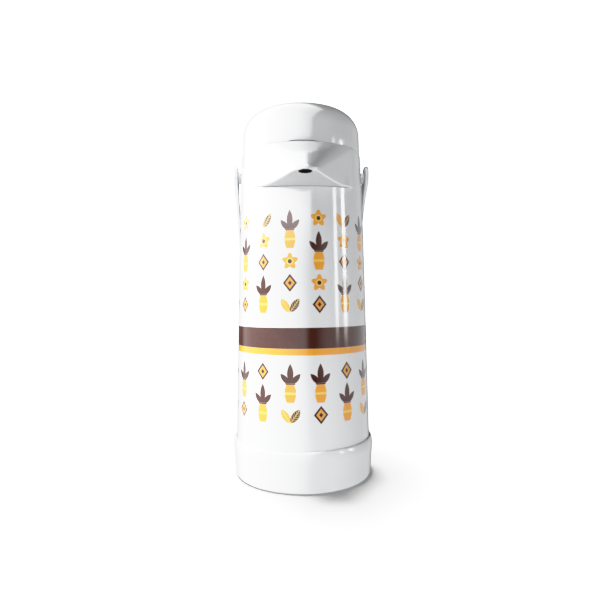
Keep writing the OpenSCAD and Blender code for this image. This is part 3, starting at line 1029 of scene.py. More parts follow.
def drop_flat_faces(skin: Skin) -> Skin:
    """Takes out quads with no area, where they reach the axis or a sheet narrows to nothing.

    Args:
        skin: a skin of quads.

    Returns:
        The same skin.
    """
    points = np.array(skin.points)
    kept = []
    for face in skin.faces:
        corners = points[list(face)]
        across = np.abs(np.cross(corners[2] - corners[0], corners[3] - corners[1])).max()
        if across > FLAT:
            kept.append(face)
    skin.faces = kept
    return skin


def x_prism(outline: Sequence[Point2], ends: Point2, edge: float) -> Skin:
    """Extrudes an outline of (y, z) along X with small rounded edges.

    Args:
        outline: a convex outline's points.
        ends: where it starts and ends, in either order.
        edge: the size of the rounding at both ends.

    Returns:
        The closed skin.
    """
    shape = np.array(outline)
    middle = shape.mean(0)
    spread = np.hypot(*(shape - middle).T).max()
    rows = []
    quarter = [0.5 * k * math.pi / EDGE_STEPS for k in range(EDGE_STEPS + 1)]
    x0, x1 = sorted(ends)
    for x, sign, turns in ((x0, 1, quarter), (x1, -1, reversed(quarter))):
        for turn in turns:
            inset = edge * (1 - math.sin(turn))
            flat = middle + (shape - middle) * (1 - inset / spread)
            along = np.full(len(shape), x + sign * edge * (1 - math.cos(turn)))
            rows.append(np.column_stack([along, flat]))
    return Skin().add_capped(np.array(rows))


def disc_outline(y: float, z: float, radius: float, steps: int = 48) -> list[Point2]:
    """A circle's points about (y, z)."""
    turns = [2 * math.pi * k / steps for k in range(steps)]
    return [(y + radius * math.cos(t), z + radius * math.sin(t)) for t in turns]


def tangent(degrees: float) -> float:
    """The tangent of an angle in degrees."""
    return math.tan(math.radians(degrees))


# ---------------------------------------------------------------- shared sizes


@dataclass(frozen=True)
class CaseForm:
    """The case's outer form and the places that beak, base, lid and handle share."""

    low_r: float = 63.4
    draft: float = 1.17
    draw: float = 1.2
    draw_power: int = 6
    wall: float = 2.2
    base_h: float = 36.0
    seam_z: float = 300.0
    skirt_z: float = 16.0
    pivot_z: float = 281.6
    handle_x: float = 64.3
    hinge_z: float = 302.0
    knuckle_r: float = 4.0
    crown_r: float = 185.0

    def radius(self, z: float) -> float:
        """The case's outer radius at a height."""
        share = max(0.0, z - self.base_h) / (self.seam_z - self.base_h)
        return self.low_r - (z - self.base_h) * tangent(self.draft) - self.draw * share**self.draw_power


@dataclass(frozen=True)
class BeakForm:
    """The beak drawn out of the case's front."""

    case: CaseForm = CaseForm()
    drop: float = 39.0
    reach: float = 34.7
    tip_r: float = 14.0
    rise: float = 9.6
    lip: float = 1.8
    inset: float = 0.3
    flare: float = 2.4
    flare_turn: float = 42.0
    flare_spread: float = 6.5
    flare_h: float = 14.0
    flare_end: float = 2.4
    arch: float = 8.0
    arch_end: float = 60.0
    side_end: float = 75.0
    margin: float = 1.0
    reach_steps: int = 241
    halvings: int = 30

    @property
    def root_z(self) -> float:
        """The height where the underside leaves the case."""
        return self.case.seam_z - self.drop

    @property
    def root_r(self) -> float:
        """The case's radius at the root."""
        return self.case.radius(self.root_z)

    @property
    def front_r(self) -> float:
        """How far the tip lies from the axis."""
        return self.root_r + self.reach

    @property
    def tip_z(self) -> float:
        """The top of the upright lip at the tip."""
        return self.underside(self.front_r) + self.lip

    def underside(self, radius: float, angle: float = 0.0) -> float:
        """The height of the beak's underside at a radius and an angle from the front."""
        return self.root_z + (radius - self.root_r) * tangent(self.rise) + self.arched(angle)

    def arched(self, angle: float) -> float:
        """How far the underside rises round the case towards an angle from the front."""
        return self.arch * (1 - math.cos(min(abs(angle), math.radians(self.arch_end))))

    def reach_at(self, angle: float, z: float) -> float:
        """The outer radius of case and beak together.

        Args:
            angle: from the front, in radians.
            z: the height.

        Returns:
            The distance from the axis.
        """
        bare = self.case.radius(z)
        if abs(angle) > math.radians(self.side_end) or z < self.root_z - self.margin:
            return bare
        share = min(1.0, (self.case.seam_z - z) / (self.case.seam_z - self.tip_z))
        seam_r = self.case.radius(self.case.seam_z) - self.inset
        tip_case_r = self.case.radius(self.tip_z) - self.inset
        wide = (1 - share) * seam_r + share * tip_case_r
        narrow = (1 - share) * seam_r + share * self.tip_r
        centre = share * (self.front_r - self.tip_r)
        steps = np.linspace(0.0, 1.0, self.reach_steps)
        out = steps * centre
        radii = (1 - steps) * wide + steps * narrow
        inside = radii**2 - (out * math.sin(angle)) ** 2
        exits = out * math.cos(angle) + np.sqrt(np.maximum(inside, 0.0))
        return max(bare, float(exits[inside >= 0].max(initial=0.0))) + self.flared(angle, z)

    def flared(self, angle: float, z: float) -> float:
        """How far the lip's two ends flare out from the case.

        Args:
            angle: from the front, in radians.
            z: the height.

        Returns:
            The distance from the plain form.
        """
        off = (math.degrees(abs(angle)) - self.flare_turn) / self.flare_spread
        low = 1 - max(0.0, z - self.root_z) / self.flare_h
        return self.flare * math.exp(-off * off) * max(0.0, low) ** 2 * (off < self.flare_end)

    def lip_at(self, angle: float) -> Point2:
        """Finds where the beak's side meets its underside.

        Args:
            angle: from the front, in radians.

        Returns:
            The lower lip's radius and height.
        """
        low, high = self.root_z, self.tip_z
        for _ in range(self.halvings):
            middle = 0.5 * (low + high)
            if self.underside(self.reach_at(angle, middle), angle) > middle:
                low = middle
            else:
                high = middle
        return self.reach_at(angle, low), low


# ---------------------------------------------------------------- case


@dataclass
class CaseShell:
    """The tapered case with its beak, pivot bosses and hinge lugs."""

    finish: bpy.types.Material
    case: CaseForm = CaseForm()
    beak: BeakForm = BeakForm()
    fine_end: float = 58.0
    fine_step: float = 1.0
    coarse_step: float = 4.0
    wall_rows: int = 15
    rise_rows: int = 14
    lip_shares: Point2 = (0.3, 0.6)
    lip_round: float = 0.7
    lip_top_round: float = 1.1
    lip_step: float = 0.3
    seam_drop: float = 0.8
    seam_rounds: Point2 = (0.5, 0.4)
    open_from: float = 0.02
    boss_r: float = 5.0
    boss_h: float = 3.0
    boss_edge: float = 0.4
    hinge_gap: float = 0.7
    lug_inner: float = 9.4
    lug_outer: float = 17.4
    lug_drop: float = 14.0
    lug_gap: float = 0.2
    lug_edge: float = 0.5
    web_foot: float = 0.4
    web_inset: float = 0.1
    web_lower: float = 0.8
    web_back: float = 1.0

    def columns(self) -> np.ndarray:
        """Spaces the shell's columns, closer together across the beak.

        Returns:
            Their angles from the front, in radians.
        """
        first = self.fine_end + self.coarse_step
        fine = np.arange(-self.fine_end, self.fine_end + 0.01, self.fine_step)
        coarse = np.arange(first, 360.0 - first + 0.1, self.coarse_step)
        return np.radians(np.concatenate([fine, coarse]))

    def rise_heights(self) -> np.ndarray:
        """The heights of the rows between the beak's lip and the seam."""
        return np.linspace(self.beak.tip_z, self.case.seam_z - self.seam_drop, self.rise_rows)

    def section(self, angle: float) -> tuple[list[Point2], list[Point2], list[Point2], bool]:
        """The shell's section at one angle.

        Args:
            angle: from the front, in radians.

        Returns:
            The outer wall, the rim from the lip over the seam and down inside, the inner
            wall, and whether the beak is open below here.
        """
        wall, seam_z, tiny = self.case.wall, self.case.seam_z, 0.01
        turn = from_front(angle)
        root_z = self.beak.root_z + self.beak.arched(turn)
        root_r = self.case.radius(root_z)
        lip_r, lip_z = self.beak.lip_at(turn)
        inner_lip = max(root_r, lip_r - wall)
        heights = np.linspace(self.case.skirt_z, root_z, self.wall_rows)
        outer = [(self.case.radius(z), z) for z in heights]
        rise = [(self.beak.reach_at(turn, z), z) for z in self.rise_heights()]
        top = self.beak.reach_at(turn, seam_z)
        lip_in_z = self.beak.underside(inner_lip, turn)
        corners = [(inner_lip, lip_in_z, 0.0), (lip_r, lip_z, self.lip_round)]
        sides = [lip_z + (self.beak.tip_z - lip_z) * share for share in self.lip_shares]
        corners += [(self.beak.reach_at(turn, z), z, 0.0) for z in sides]
        top_round = min(self.lip_top_round, max(0.0, lip_r - root_r) + tiny)
        corners += [(*rise[0], top_round), *plain(rise[1:-1])]
        corners += [(top, seam_z, self.seam_rounds[0]), (top - wall, seam_z, self.seam_rounds[1])]
        corners += [(r - wall, z, 0.0) for r, z in (rise[self.rise_rows // 2], rise[0])]
        corners.append((lip_r - wall, max(lip_z, lip_in_z) + self.lip_step, 0.0))
        rim = rounded_path(corners, False, EDGE_STEPS)
        inner = [(r - wall, z) for r, z in reversed(outer)]
        return outer, rim, inner, lip_r - wall > root_r + self.open_from

    def shell(self) -> Skin:
        """The case's wall with the beak drawn out of it and open below.

        Returns:
            The wall as a closed skin.
        """
        angles = self.columns()
        sections = [self.section(a) for a in angles]
        skin = Skin()
        grids = []
        for part in range(3):
            rows = np.array([s[part] for s in sections]).transpose(1, 0, 2)
            placed = np.stack(around(rows[..., 0], angles, rows[..., 1]), axis=-1)
            grids.append(skin.add_grid(placed, True))
        outer, rim, inner = grids
        skin.bridge(inner[-1], outer[0], True)
        width = len(angles)
        is_open = [sections[j][3] or sections[(j + 1) % width][3] for j in range(width)]
        for j in range(width):
            k = (j + 1) % width
            below = (rim[0][j], rim[0][k]) if is_open[j] else (inner[0][j], inner[0][k])
            skin.faces.append((rim[-1][j], rim[-1][k], below[1], below[0]))
            if is_open[j]:
                skin.faces.append((outer[-1][j], outer[-1][k], inner[0][k], inner[0][j]))
            if is_open[j] != is_open[j - 1]:
                skin.faces.append((outer[-1][j], rim[-1][j], inner[0][j]))
        return skin

    def pivot_boss(self, side: int) -> Skin:
        """The round boss that carries the handle's pin.

        Args:
            side: -1 or 1.

        Returns:
            The boss, which starts inside the wall.
        """
        pivot_z = self.case.pivot_z
        skin_r = self.case.radius(pivot_z)
        ends = (side * (skin_r - self.case.wall / 2), side * (skin_r + self.boss_h))
        return x_prism(disc_outline(0.0, pivot_z, self.boss_r), ends, self.boss_edge)

    def hinge_lugs(self, side: int) -> Skin:
        """A knuckle of the hinge with the web that carries it.

        Args:
            side: -1 or 1.

        Returns:
            Both, which overlap.
        """
        seam_z, hinge_z, knuckle_r = self.case.seam_z, self.case.hinge_z, self.case.knuckle_r
        top_r = self.case.radius(seam_z)
        y = top_r + self.hinge_gap + knuckle_r
        inner_y = top_r - self.case.wall / 2
        low_z, top_z = seam_z - self.lug_drop, seam_z - self.lug_gap
        web = [
            (inner_y, low_z),
            (top_r + self.web_foot, low_z),
            (y + knuckle_r - self.web_inset, hinge_z - self.web_lower),
            (y, hinge_z),
            (top_r + self.hinge_gap + self.web_back, top_z),
            (inner_y, top_z),
        ]
        ends = (side * self.lug_inner, side * self.lug_outer)
        skin = x_prism(web, ends, self.lug_edge)
        return skin.add(x_prism(disc_outline(y, hinge_z, knuckle_r), ends, self.lug_edge))

    def build(self) -> bpy.types.Object:
        """Builds the case as one piece.

        Returns:
            The piece.
        """
        skin = self.shell()
        for side in SIDES:
            skin.add(self.pivot_boss(side)).add(self.hinge_lugs(side))
        return skin.piece("case", self.finish, Role("body_shell"))


@dataclass
class BaseCup:
    """The wider foot with its rounded shoulder and hollow underside."""

    finish: bpy.types.Material
    case: CaseForm = CaseForm()
    proud: float = 2.9
    taper: float = 1.8
    shoulder_h: float = 8.0
    edge: float = 3.0
    hollow: float = 3.0
    floor: float = 2.5
    centre_foot_r: float = 14.0
    foot_round: float = 0.8
    lip: float = 0.5
    lip_round: float = 0.15
    play: float = 0.15
    ledge: float = 1.6
    ledge_round: float = 0.3
    floor_round: float = 1.0
    ring_w: float = 3.0
    clear: float = 0.02
    arc_step: int = 6
    side_steps: int = 6

    def build(self) -> bpy.types.Object:
        """Builds the base as one turned piece.

        Returns:
            The piece.
        """
        wide = self.case.low_r + self.proud - self.clear
        foot_edge = wide - self.taper - self.edge
        bore = self.case.radius(self.case.skirt_z) + self.play
        top_r = bore + self.lip
        top_z = self.case.base_h
        belly_z = top_z - self.shoulder_h
        hollow_r = foot_edge - self.ring_w
        floor_z = self.hollow + self.floor
        seat_z = self.case.skirt_z - self.play
        turns = [math.radians(a) for a in range(0, 90 + 1, self.arc_step)]
        edge = [
            (foot_edge + self.edge * math.cos(t), self.edge - self.edge * math.sin(t))
            for t in reversed(turns)
        ]
        shoulder = [
            (top_r + (wide - top_r) * math.cos(t), belly_z + self.shoulder_h * math.sin(t))
            for t in turns
        ]
        side_z = edge[-1][1]
        side = []
        for k in range(1, self.side_steps):
            share = k / self.side_steps
            side.append((wide - self.taper * (1 - share), side_z + (belly_z - self.edge) * share))
        foot = [
            (0.0, 0.0, 0.0),
            (self.centre_foot_r, 0.0, self.foot_round),
            (self.centre_foot_r, self.hollow, self.foot_round),
            (hollow_r, self.hollow, self.foot_round),
            (hollow_r, 0.0, self.foot_round),
            (foot_edge, 0.0, 0.0),
        ]
        inside = [
            (top_r, top_z, 0.0),
            (bore, top_z, self.lip_round),
            (bore, seat_z, 0.0),
            (bore - self.ledge, seat_z, self.ledge_round),
            (bore - self.ledge, floor_z, self.floor_round),
            (0.0, floor_z, 0.0),
        ]
        path = rounded_path(foot, False) + edge[1:] + side + shoulder
        path += rounded_path(inside, False)[1:]
        return turned(path).piece("base", self.finish, Role("base_cup"))


# ---------------------------------------------------------------- beak


@dataclass
class BeakMouth:
    """The recessed underside of the beak, grey as painted shade, and the outlet in it, near-black as
    the painted shade of its hole.
    """

    plate: bpy.types.Material
    tube: bpy.types.Material
    beak: BeakForm = BeakForm()
    half_turn: float = 52.0
    plate_columns: int = 105
    plate_rows: int = 15
    root_gap: float = 0.05
    thick: float = 0.9
    recess: float = 0.3
    dish: float = 0.9
    dish_from: float = 12.0
    play: float = 0.15
    hole_r: float = 5.1
    nozzle_r: float = 5.5
    nozzle_sink: float = 1.5
    nozzle_wall: float = 0.9
    nozzle_low: float = 0.15
    nozzle_top: float = 277.0
    nozzle_cap: float = 1.5
    nozzle_round: float = 0.35
    nozzle_top_round: float = 0.3
    nozzle_cap_round: float = 1.2
    nozzle_steps: int = 64
    drill_below: float = 5.0

    @property
    def nozzle_y(self) -> float:
        """Where the outlet's centre lies."""
        room = self.beak.front_r - self.beak.case.wall - self.play
        return -(room - self.nozzle_r + self.nozzle_sink)

    def floor(self) -> Skin:
        """The plate that closes the beak from below, dished a little.

        Returns:
            The closed skin, without the outlet's hole.
        """
        limit = math.radians(self.half_turn)
        columns = np.linspace(-limit, limit, self.plate_columns)
        shares = np.linspace(0.0, 1.0, self.plate_rows)
        root = self.beak.root_r + self.root_gap
        rows = np.zeros((len(shares), len(columns), 3))
        for j, angle in enumerate(columns):
            lip_r, _ = self.beak.lip_at(angle)
            far = max(root, lip_r - self.beak.case.wall - self.play)
            width_share = min(1.0, (far - root) / self.dish_from)
            for i, share in enumerate(shares):
                r = root + (far - root) * share
                sag = self.dish * width_share * (1 - (2 * share - 1) ** 2)
                z = self.beak.underside(r, angle) + self.recess + sag
                rows[i, j] = around(r, angle, z)
        skin = Skin()
        lower = skin.add_grid(rows, False)
        rows[..., 2] += self.thick
        upper = skin.add_grid(rows, False)
        skin.bridge(lower[0], upper[0], False)
        skin.bridge(lower[-1], upper[-1], False)
        for side in (0, -1):
            skin.bridge([row[side] for row in lower], [row[side] for row in upper], False)
        return drop_flat_faces(skin)

    def nozzle(self) -> Skin:
        """The short tube with rounded rim that the drink leaves by.

        Returns:
            The closed skin, kept below the inside of the beak's ridge.
        """
        low = self.beak.underside(-self.nozzle_y) + self.recess - self.nozzle_low
        bore = self.nozzle_r - self.nozzle_wall
        cap_z = self.nozzle_top - self.nozzle_cap
        corners = [
            (self.nozzle_r, low, self.nozzle_round),
            (self.nozzle_r, self.nozzle_top, self.nozzle_top_round),
            (0.0, self.nozzle_top, 0.0),
            (0.0, cap_z, 0.0),
            (bore, cap_z, self.nozzle_cap_round),
            (bore, low, self.nozzle_round),
        ]
        path = rounded_path(corners, True, EDGE_STEPS)
        skin = turned(path, self.nozzle_steps).moved(self.nozzle_y)
        skin.points = [(x, y, min(z, self.ridge_inside(-y))) for x, y, z in skin.points]
        return skin

    def drill(self) -> Skin:
        """The round hole in the plate that the outlet stands in.

        Returns:
            What is to be taken out of the plate.
        """
        low, high = self.beak.root_z - self.drill_below, self.nozzle_top
        path = [(0.0, low), (self.hole_r, low), (self.hole_r, high), (0.0, high)]
        return turned(path, self.nozzle_steps).moved(self.nozzle_y)

    def ridge_inside(self, radius: float) -> float:
        """Works out the inside of the beak's ridge.

        Args:
            radius: the distance from the axis.

        Returns:
            The inside's height there.
        """
        case = self.beak.case
        top_r = case.radius(case.seam_z)
        slope = (case.seam_z - self.beak.tip_z) / (self.beak.front_r - top_r)
        depth = (case.wall + self.play) * math.hypot(1.0, slope)
        return case.seam_z - (radius - top_r) * slope - depth

    def build(self) -> list[bpy.types.Object]:
        """Builds the plate and the outlet.

        Returns:
            Both pieces.
        """
        # the underside plate is grey as painted shade: the beak's underside is darker than the white
        # case
        floor = self.floor().piece("beak_underside", self.plate, Role("beak_floor", slot=Slot.GREY))
        carve(floor, self.drill())
        # the outlet's near-black finish and the cap inside its bore are painted shade: they make the
        # hole under the beak read dark
        tube = self.nozzle().piece("outlet", self.tube, Role("spout_nozzle", slot=Slot.DARK))
        return [floor, tube]


# ---------------------------------------------------------------- lid


@dataclass
class DomeLid:
    """The domed lid with the button's well, the finger notch and the hinge knuckle."""

    finish: bpy.types.Material
    case: CaseForm = CaseForm()
    radius: float = 56.208
    low_z: float = 300.4
    low_rounds: Point2 = (0.3, 0.6)
    straight_z: float = 307.0
    draft: float = 1.4
    shoulder: float = 22.0
    shoulder_steps: int = 16
    crown_top: float = 344.2
    crown_shares: Point3 = (0.25, 0.5, 0.75)
    wall: float = 2.2
    well_r: float = 35.5
    well_round: float = 0.7
    guide_wall: float = 1.8
    guide_z: float = 312.0
    guide_round: float = 0.5
    inner_round: float = 0.6
    inner_every: int = 4
    notch_half: float = 14.0
    notch_h: float = 0.9
    notch_ramp: float = 5.0
    notch_fade: float = 4.0
    notch_turn: float = 1.2
    hinge_y: float = 61.508
    knuckle_half: float = 9.0
    knuckle_edge: float = 0.5
    web_foot: float = 0.3
    web_back: float = 0.8
    web_top: float = 2.2
    steps: int = 240
    halvings: int = 60

    def crown(self, r: float, inset: float = 0.0) -> float:
        """The height of the crown at a radius, or of its inside at that inset."""
        big = self.case.crown_r - inset
        return self.crown_top - self.case.crown_r + math.sqrt(big**2 - r**2)

    def side(self, z: float) -> float:
        """The radius of the side at a height."""
        return self.radius - (z - self.low_z) * tangent(self.draft)

    def shoulder_arc(self) -> list[Point2]:
        """The arc that joins the side to the crown, touching both.

        Returns:
            Its points as radius and height, from the side up.
        """
        big = self.case.crown_r - self.shoulder
        top = self.crown_top - self.case.crown_r
        lean = math.radians(self.draft)
        low, high = self.low_z, self.crown_top

        def centre_at(z: float) -> float:
            """The radius of the arc's centre at a height."""
            return self.side(z) - self.shoulder / math.cos(lean)

        for _ in range(self.halvings):
            middle = 0.5 * (low + high)
            inside = math.hypot(centre_at(middle), middle - top) < big
            low, high = (middle, high) if inside else (low, middle)
        centre_r = centre_at(low)
        turns = np.linspace(lean, math.atan2(low - top, centre_r), self.shoulder_steps + 1)
        return [
            (centre_r + self.shoulder * math.cos(t), low + self.shoulder * math.sin(t))
            for t in turns
        ]

    def section(self) -> list[Point2]:
        """The lid's section, from the seam over the crown and down inside.

        Returns:
            The closed section's points.
        """
        arc = self.shoulder_arc()
        inner_r = self.well_r + self.guide_wall
        edge_r = arc[-1][0]
        crown = [edge_r + (self.well_r - edge_r) * share for share in self.crown_shares]
        corners = [
            (self.radius - self.wall, self.low_z, self.low_rounds[0]),
            (self.radius, self.low_z, self.low_rounds[1]),
            (self.side(self.straight_z), self.straight_z, 0.0),
            *plain(arc),
            *((r, self.crown(r), 0.0) for r in crown),
            (self.well_r, self.crown(self.well_r), self.well_round),
            (self.well_r, self.guide_z, self.guide_round),
            (inner_r, self.guide_z, self.guide_round),
            (inner_r, self.crown(inner_r, self.wall), self.inner_round),
        ]
        scale = 1 - self.wall / self.shoulder
        centre_r, centre_z = arc[0][0] - self.shoulder, arc[0][1]
        for r, z in reversed(arc[:: self.inner_every]):
            inside_r = centre_r + (r - centre_r) * scale
            if inside_r > inner_r + 1:
                corners.append((inside_r, centre_z + (z - centre_z) * scale, 0.0))
        return rounded_path(corners, True, EDGE_STEPS)

    def notched(self, angle: float, r: float, z: float) -> Point2:
        """Lifts the front of the lower edge to leave room for a finger.

        Args:
            angle: from the front, in radians.
            r: the point's radius.
            z: its height.

        Returns:
            The new radius and height.
        """
        turn = from_front(angle)
        if abs(turn) >= self.notch_turn:
            return r, z
        share = held((self.notch_half - abs(r * math.sin(turn))) / self.notch_ramp)
        fade = max(0.0, 1 - (z - self.low_z) / self.notch_fade)
        return r, z + self.notch_h * eased(share) * fade

    def knuckle(self) -> Skin:
        """The lid's part of the hinge.

        Returns:
            The knuckle and its web, which overlap.
        """
        y, z, knuckle_r = self.hinge_y, self.case.hinge_z, self.case.knuckle_r
        ends = (-self.knuckle_half, self.knuckle_half)
        web = [
            (self.radius - self.wall, self.low_z),
            (self.radius + self.web_foot, self.low_z),
            (y, z),
            (y + knuckle_r / 2, z + self.web_back * knuckle_r),
            (self.radius - self.web_foot, z + self.web_top * knuckle_r),
            (self.radius - self.wall, z + self.web_top * knuckle_r),
        ]
        skin = x_prism(web, ends, self.knuckle_edge)
        return skin.add(x_prism(disc_outline(y, z, knuckle_r), ends, self.knuckle_edge))

    def build(self) -> bpy.types.Object:
        """Builds the lid as one piece."""
        skin = turned(self.section(), self.steps, self.notched).add(self.knuckle())
        return skin.piece("lid", self.finish, Role("lid_shell", Body.LID))


@dataclass
class PushButton:
    """The round button in the crown."""

    finish: bpy.types.Material
    case: CaseForm = CaseForm()
    radius: float = 35.0
    top_z: float = 345.0
    top_steps: int = 12
    flat_edge: float = 3.0
    wall: float = 2.0
    skirt: float = 10.0
    edge: float = 0.9
    skirt_round: float = 0.4
    corner_round: float = 1.0
    stem_r: float = 8.0
    stem_low: float = 332.0
    stem_rounds: Point2 = (0.5, 0.3)

    def crown(self, r: float) -> float:
        """The height of the button's top at a radius."""
        return self.top_z - self.case.crown_r + math.sqrt(self.case.crown_r**2 - r**2)

    def build(self) -> bpy.types.Object:
        """Builds the button as one turned piece.

        Returns:
            The piece.
        """
        rim = self.crown(self.radius)
        low = rim - self.skirt
        bore = self.radius - self.wall
        stem_in = self.stem_r - self.wall
        root_round, foot_round = self.stem_rounds
        top = np.linspace(0.0, self.radius - self.flat_edge, self.top_steps)
        corners = [
            *((r, self.crown(r), 0.0) for r in top),
            (self.radius, rim, self.edge),
            (self.radius, low, self.skirt_round),
            (bore, low, self.skirt_round),
            (bore, self.crown(bore) - self.wall, self.corner_round),
            (self.stem_r, self.crown(self.stem_r) - self.wall, root_round),
            (self.stem_r, self.stem_low, foot_round),
            (stem_in, self.stem_low, foot_round),
            (stem_in, self.crown(stem_in) - self.wall, root_round),
            (0.0, self.top_z - self.wall, 0.0),
        ]
        skin = turned(rounded_path(corners, True))
        return skin.piece("button", self.finish, Role("push_button", Body.BUTTON))


# ---------------------------------------------------------------- handle


@dataclass
class CarryHandle:
    """The bail that hangs behind the pot from its two side pivots."""

    finish: bpy.types.Material
    case: CaseForm = CaseForm()
    rest_angle: float = 43.0
    arm_t: float = 3.4
    strap_t: float = 2.6
    arm_end_r: float = 11.5
    strap_half: float = 7.0
    taper_len: float = 22.0
    thin_from: float = 0.3
    bend_r: float = 24.0
    reach: float = 97.0
    grip_t: float = 5.0
    grip_half: float = 8.0
    round_shares: Point2 = (0.42, 0.9)
    bore_r: float = 2.6
    head_r: float = 4.05
    head_t: float = 1.3
    drill_x: float = 80.0
    turn_steps: int = 12
    arm_steps: int = 21
    grip_steps: int = 7

    def half_width(self, along: float) -> float:
        """Half the strap's width.

        Args:
            along: the distance along the arm from the pivot.

        Returns:
            The half width, which is the arm's round end above the pivot.
        """
        if along < 0:
            return math.sqrt(max(0.0, self.arm_end_r**2 - along**2))
        ease = eased(min(1.0, along / self.taper_len))
        return self.arm_end_r + (self.strap_half - self.arm_end_r) * ease

    def stations(self) -> list[tuple[float, ...]]:
        """The middle line of half the bail.

        Returns:
            For each station: x, distance below the pivot, the outward normal's x and
            downward parts, half width and thickness.
        """
        made = []
        out_x = self.case.handle_x
        corner_x = out_x - self.bend_r
        corner_s = self.reach + self.grip_t - self.bend_r
        quarter = np.linspace(0.0, math.pi / 2, self.turn_steps + 1)[1:]
        for turn in quarter:
            along = -self.arm_end_r * math.cos(turn)
            thick = self.arm_t
            made.append((out_x - thick / 2, along, 1.0, 0.0, self.half_width(along), thick))
        for along in np.linspace(0.0, corner_s, self.arm_steps + 1)[1:]:
            thinned = eased(held(along / self.taper_len - self.thin_from))
            thick = self.arm_t + (self.strap_t - self.arm_t) * thinned
            made.append((out_x - thick / 2, along, 1.0, 0.0, self.half_width(along), thick))
        for turn in quarter:
            share = turn / (math.pi / 2)
            thick = self.strap_t + (self.grip_t - self.strap_t) * share
            radius = self.bend_r - thick / 2
            nx, ns = math.cos(turn), math.sin(turn)
            half = self.strap_half + (self.grip_half - self.strap_half) * share
            made.append((corner_x + radius * nx, corner_s + radius * ns, nx, ns, half, thick))
        middle = self.reach + self.grip_t / 2
        for x in np.linspace(corner_x, 0.0, self.grip_steps + 1)[1:]:
            made.append((x, middle, 0.0, 1.0, self.grip_half, self.grip_t))
        return made

    def ring(self, station: tuple[float, ...], mirror: int) -> list[Point3]:
        """The strap's outline at a station.

        Args:
            station: one of the stations.
            mirror: 1, or -1 for the other half of the bail.

        Returns:
            Its points as x, across and below-pivot parts.
        """
        x, s, nx, ns, half, thick = station
        round_r = min(self.round_shares[0] * thick, self.round_shares[1] * half)
        corners = [(-half, -thick / 2), (half, -thick / 2), (half, thick / 2), (-half, thick / 2)]
        outline = rounded_path([(*corner, round_r) for corner in corners], True, EDGE_STEPS)
        return [(mirror * (x + nx * out), across, s + ns * out) for across, out in outline]

    def drill(self, radius: float, ends: Point2) -> Skin:
        """A round hole on the pivots' line."""
        return x_prism(disc_outline(0.0, self.case.pivot_z, radius), ends, 0.0)

    def build(self) -> bpy.types.Object:
        """Builds the bail as one piece with its pivot holes.

        Returns:
            The piece.
        """
        half = self.stations()
        whole = [self.ring(s, 1) for s in half] + [self.ring(s, -1) for s in reversed(half[:-1])]
        lean = math.radians(self.rest_angle)
        x, across, below = np.moveaxis(np.array(whole), -1, 0)
        y = across * math.cos(lean) + below * math.sin(lean)
        z = self.case.pivot_z - below * math.cos(lean) + across * math.sin(lean)
        skin = Skin().add_capped(np.stack([x, y, z], axis=-1))
        made = skin.piece("handle", self.finish, Role("carry_handle", Body.HANDLE))
        carve(made, self.drill(self.bore_r, (-self.drill_x, self.drill_x)))
        for side in SIDES:
            ends = (side * (self.case.handle_x - self.head_t), side * self.drill_x)
            carve(made, self.drill(self.head_r, ends))
        return made


@dataclass
class HandlePins:
    """The two pivot pins with domed heads that sit flush in the bail's arms."""

    finish: bpy.types.Material
    case: CaseForm = CaseForm()
    shaft_r: float = 2.5
    shaft_edge: float = 0.4
    head_r: float = 3.95
    head_t: float = 1.2
    head_edge: Point2 = (0.2, 0.15)
    in_x: float = 56.5
    dome: float = 0.35
    dome_shares: tuple[float, ...] = (0.8, 0.6, 0.4, 0.2)
    steps: int = 40

    def build(self) -> bpy.types.Object:
        """Builds both pins as one piece.

        Returns:
            The piece.
        """
        face = self.case.handle_x - self.dome
        under = self.case.handle_x - self.head_t
        edge_x, edge_r = self.head_edge
        rings = [
            (self.in_x, self.shaft_r - self.shaft_edge),
            (self.in_x + self.shaft_edge, self.shaft_r),
            (under, self.shaft_r),
            (under, self.head_r),
            (face - edge_x, self.head_r),
            (face, self.head_r - edge_r),
        ]
        for share in self.dome_shares:
            rings.append((face + self.dome * (1 - share**2), self.head_r * share))
        skin = Skin()
        for side in SIDES:
            rows = []
            for x, radius in rings:
                disc = disc_outline(0.0, self.case.pivot_z, radius, self.steps)
                rows.append([(side * x, y, z) for y, z in disc])
            skin.add_capped(np.array(rows))
        return skin.piece("pivot_pins", self.finish, Role("handle_pins"))


# ---------------------------------------------------------------- inner works


@dataclass
class PumpWorks:
    """The bellows and the return spring, as dressed copies of their CAD nodes; on the pot their upper
    ends go down with the button.
    """

    nodes: dict[str, bpy.types.Object]
    finishes: dict[str, bpy.types.Material]
    slots: dict[str, str]
    names: tuple[str, ...] = ("bellows", "return_spring")
    spare: float = 0.002

    def build(self) -> list[bpy.types.Object]:
        """Builds a dressed copy of each node and hides the node.

        Returns:
            The pieces.
        """
        made = []
        for name in self.names:
            low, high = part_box(name)
            mesh = self.nodes[name].data.copy()
            dress(mesh, self.finishes[self.slots[name]], CREASE)
            piece = add_object(name + "_worked", mesh)
            start, end = (0.0, 0.0, low.z - self.spare), (0.0, 0.0, high.z + self.spare)
            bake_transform(piece)
            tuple(start)
            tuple(end)
            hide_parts(name)
            made.append(piece)
        return made


@dataclass
class InnerWorks:
    """The CAD nodes that stay as they are: flask, pump, deck, tubes, hinge pin and screws."""

    nodes: dict[str, bpy.types.Object]
    finishes: dict[str, bpy.types.Material]
    slots: dict[str, str]

    def dress(self) -> int:
        """Gives each shown CAD node its finish and smooth faces.

        Returns:
            The number of nodes.
        """
        count = 0
        for name, node in self.nodes.items():
            if node.hide_render or name not in self.slots:
                continue
            dress(node.data, self.finishes[self.slots[name]], CAD_CREASE)
            count += 1
        return count


# ---------------------------------------------------------------- studio


class Reach(Enum):
    """What a light falls on, as the light-linking state of the floor."""

    FLOOR = "INCLUDE"
    PIECES = "EXCLUDE"


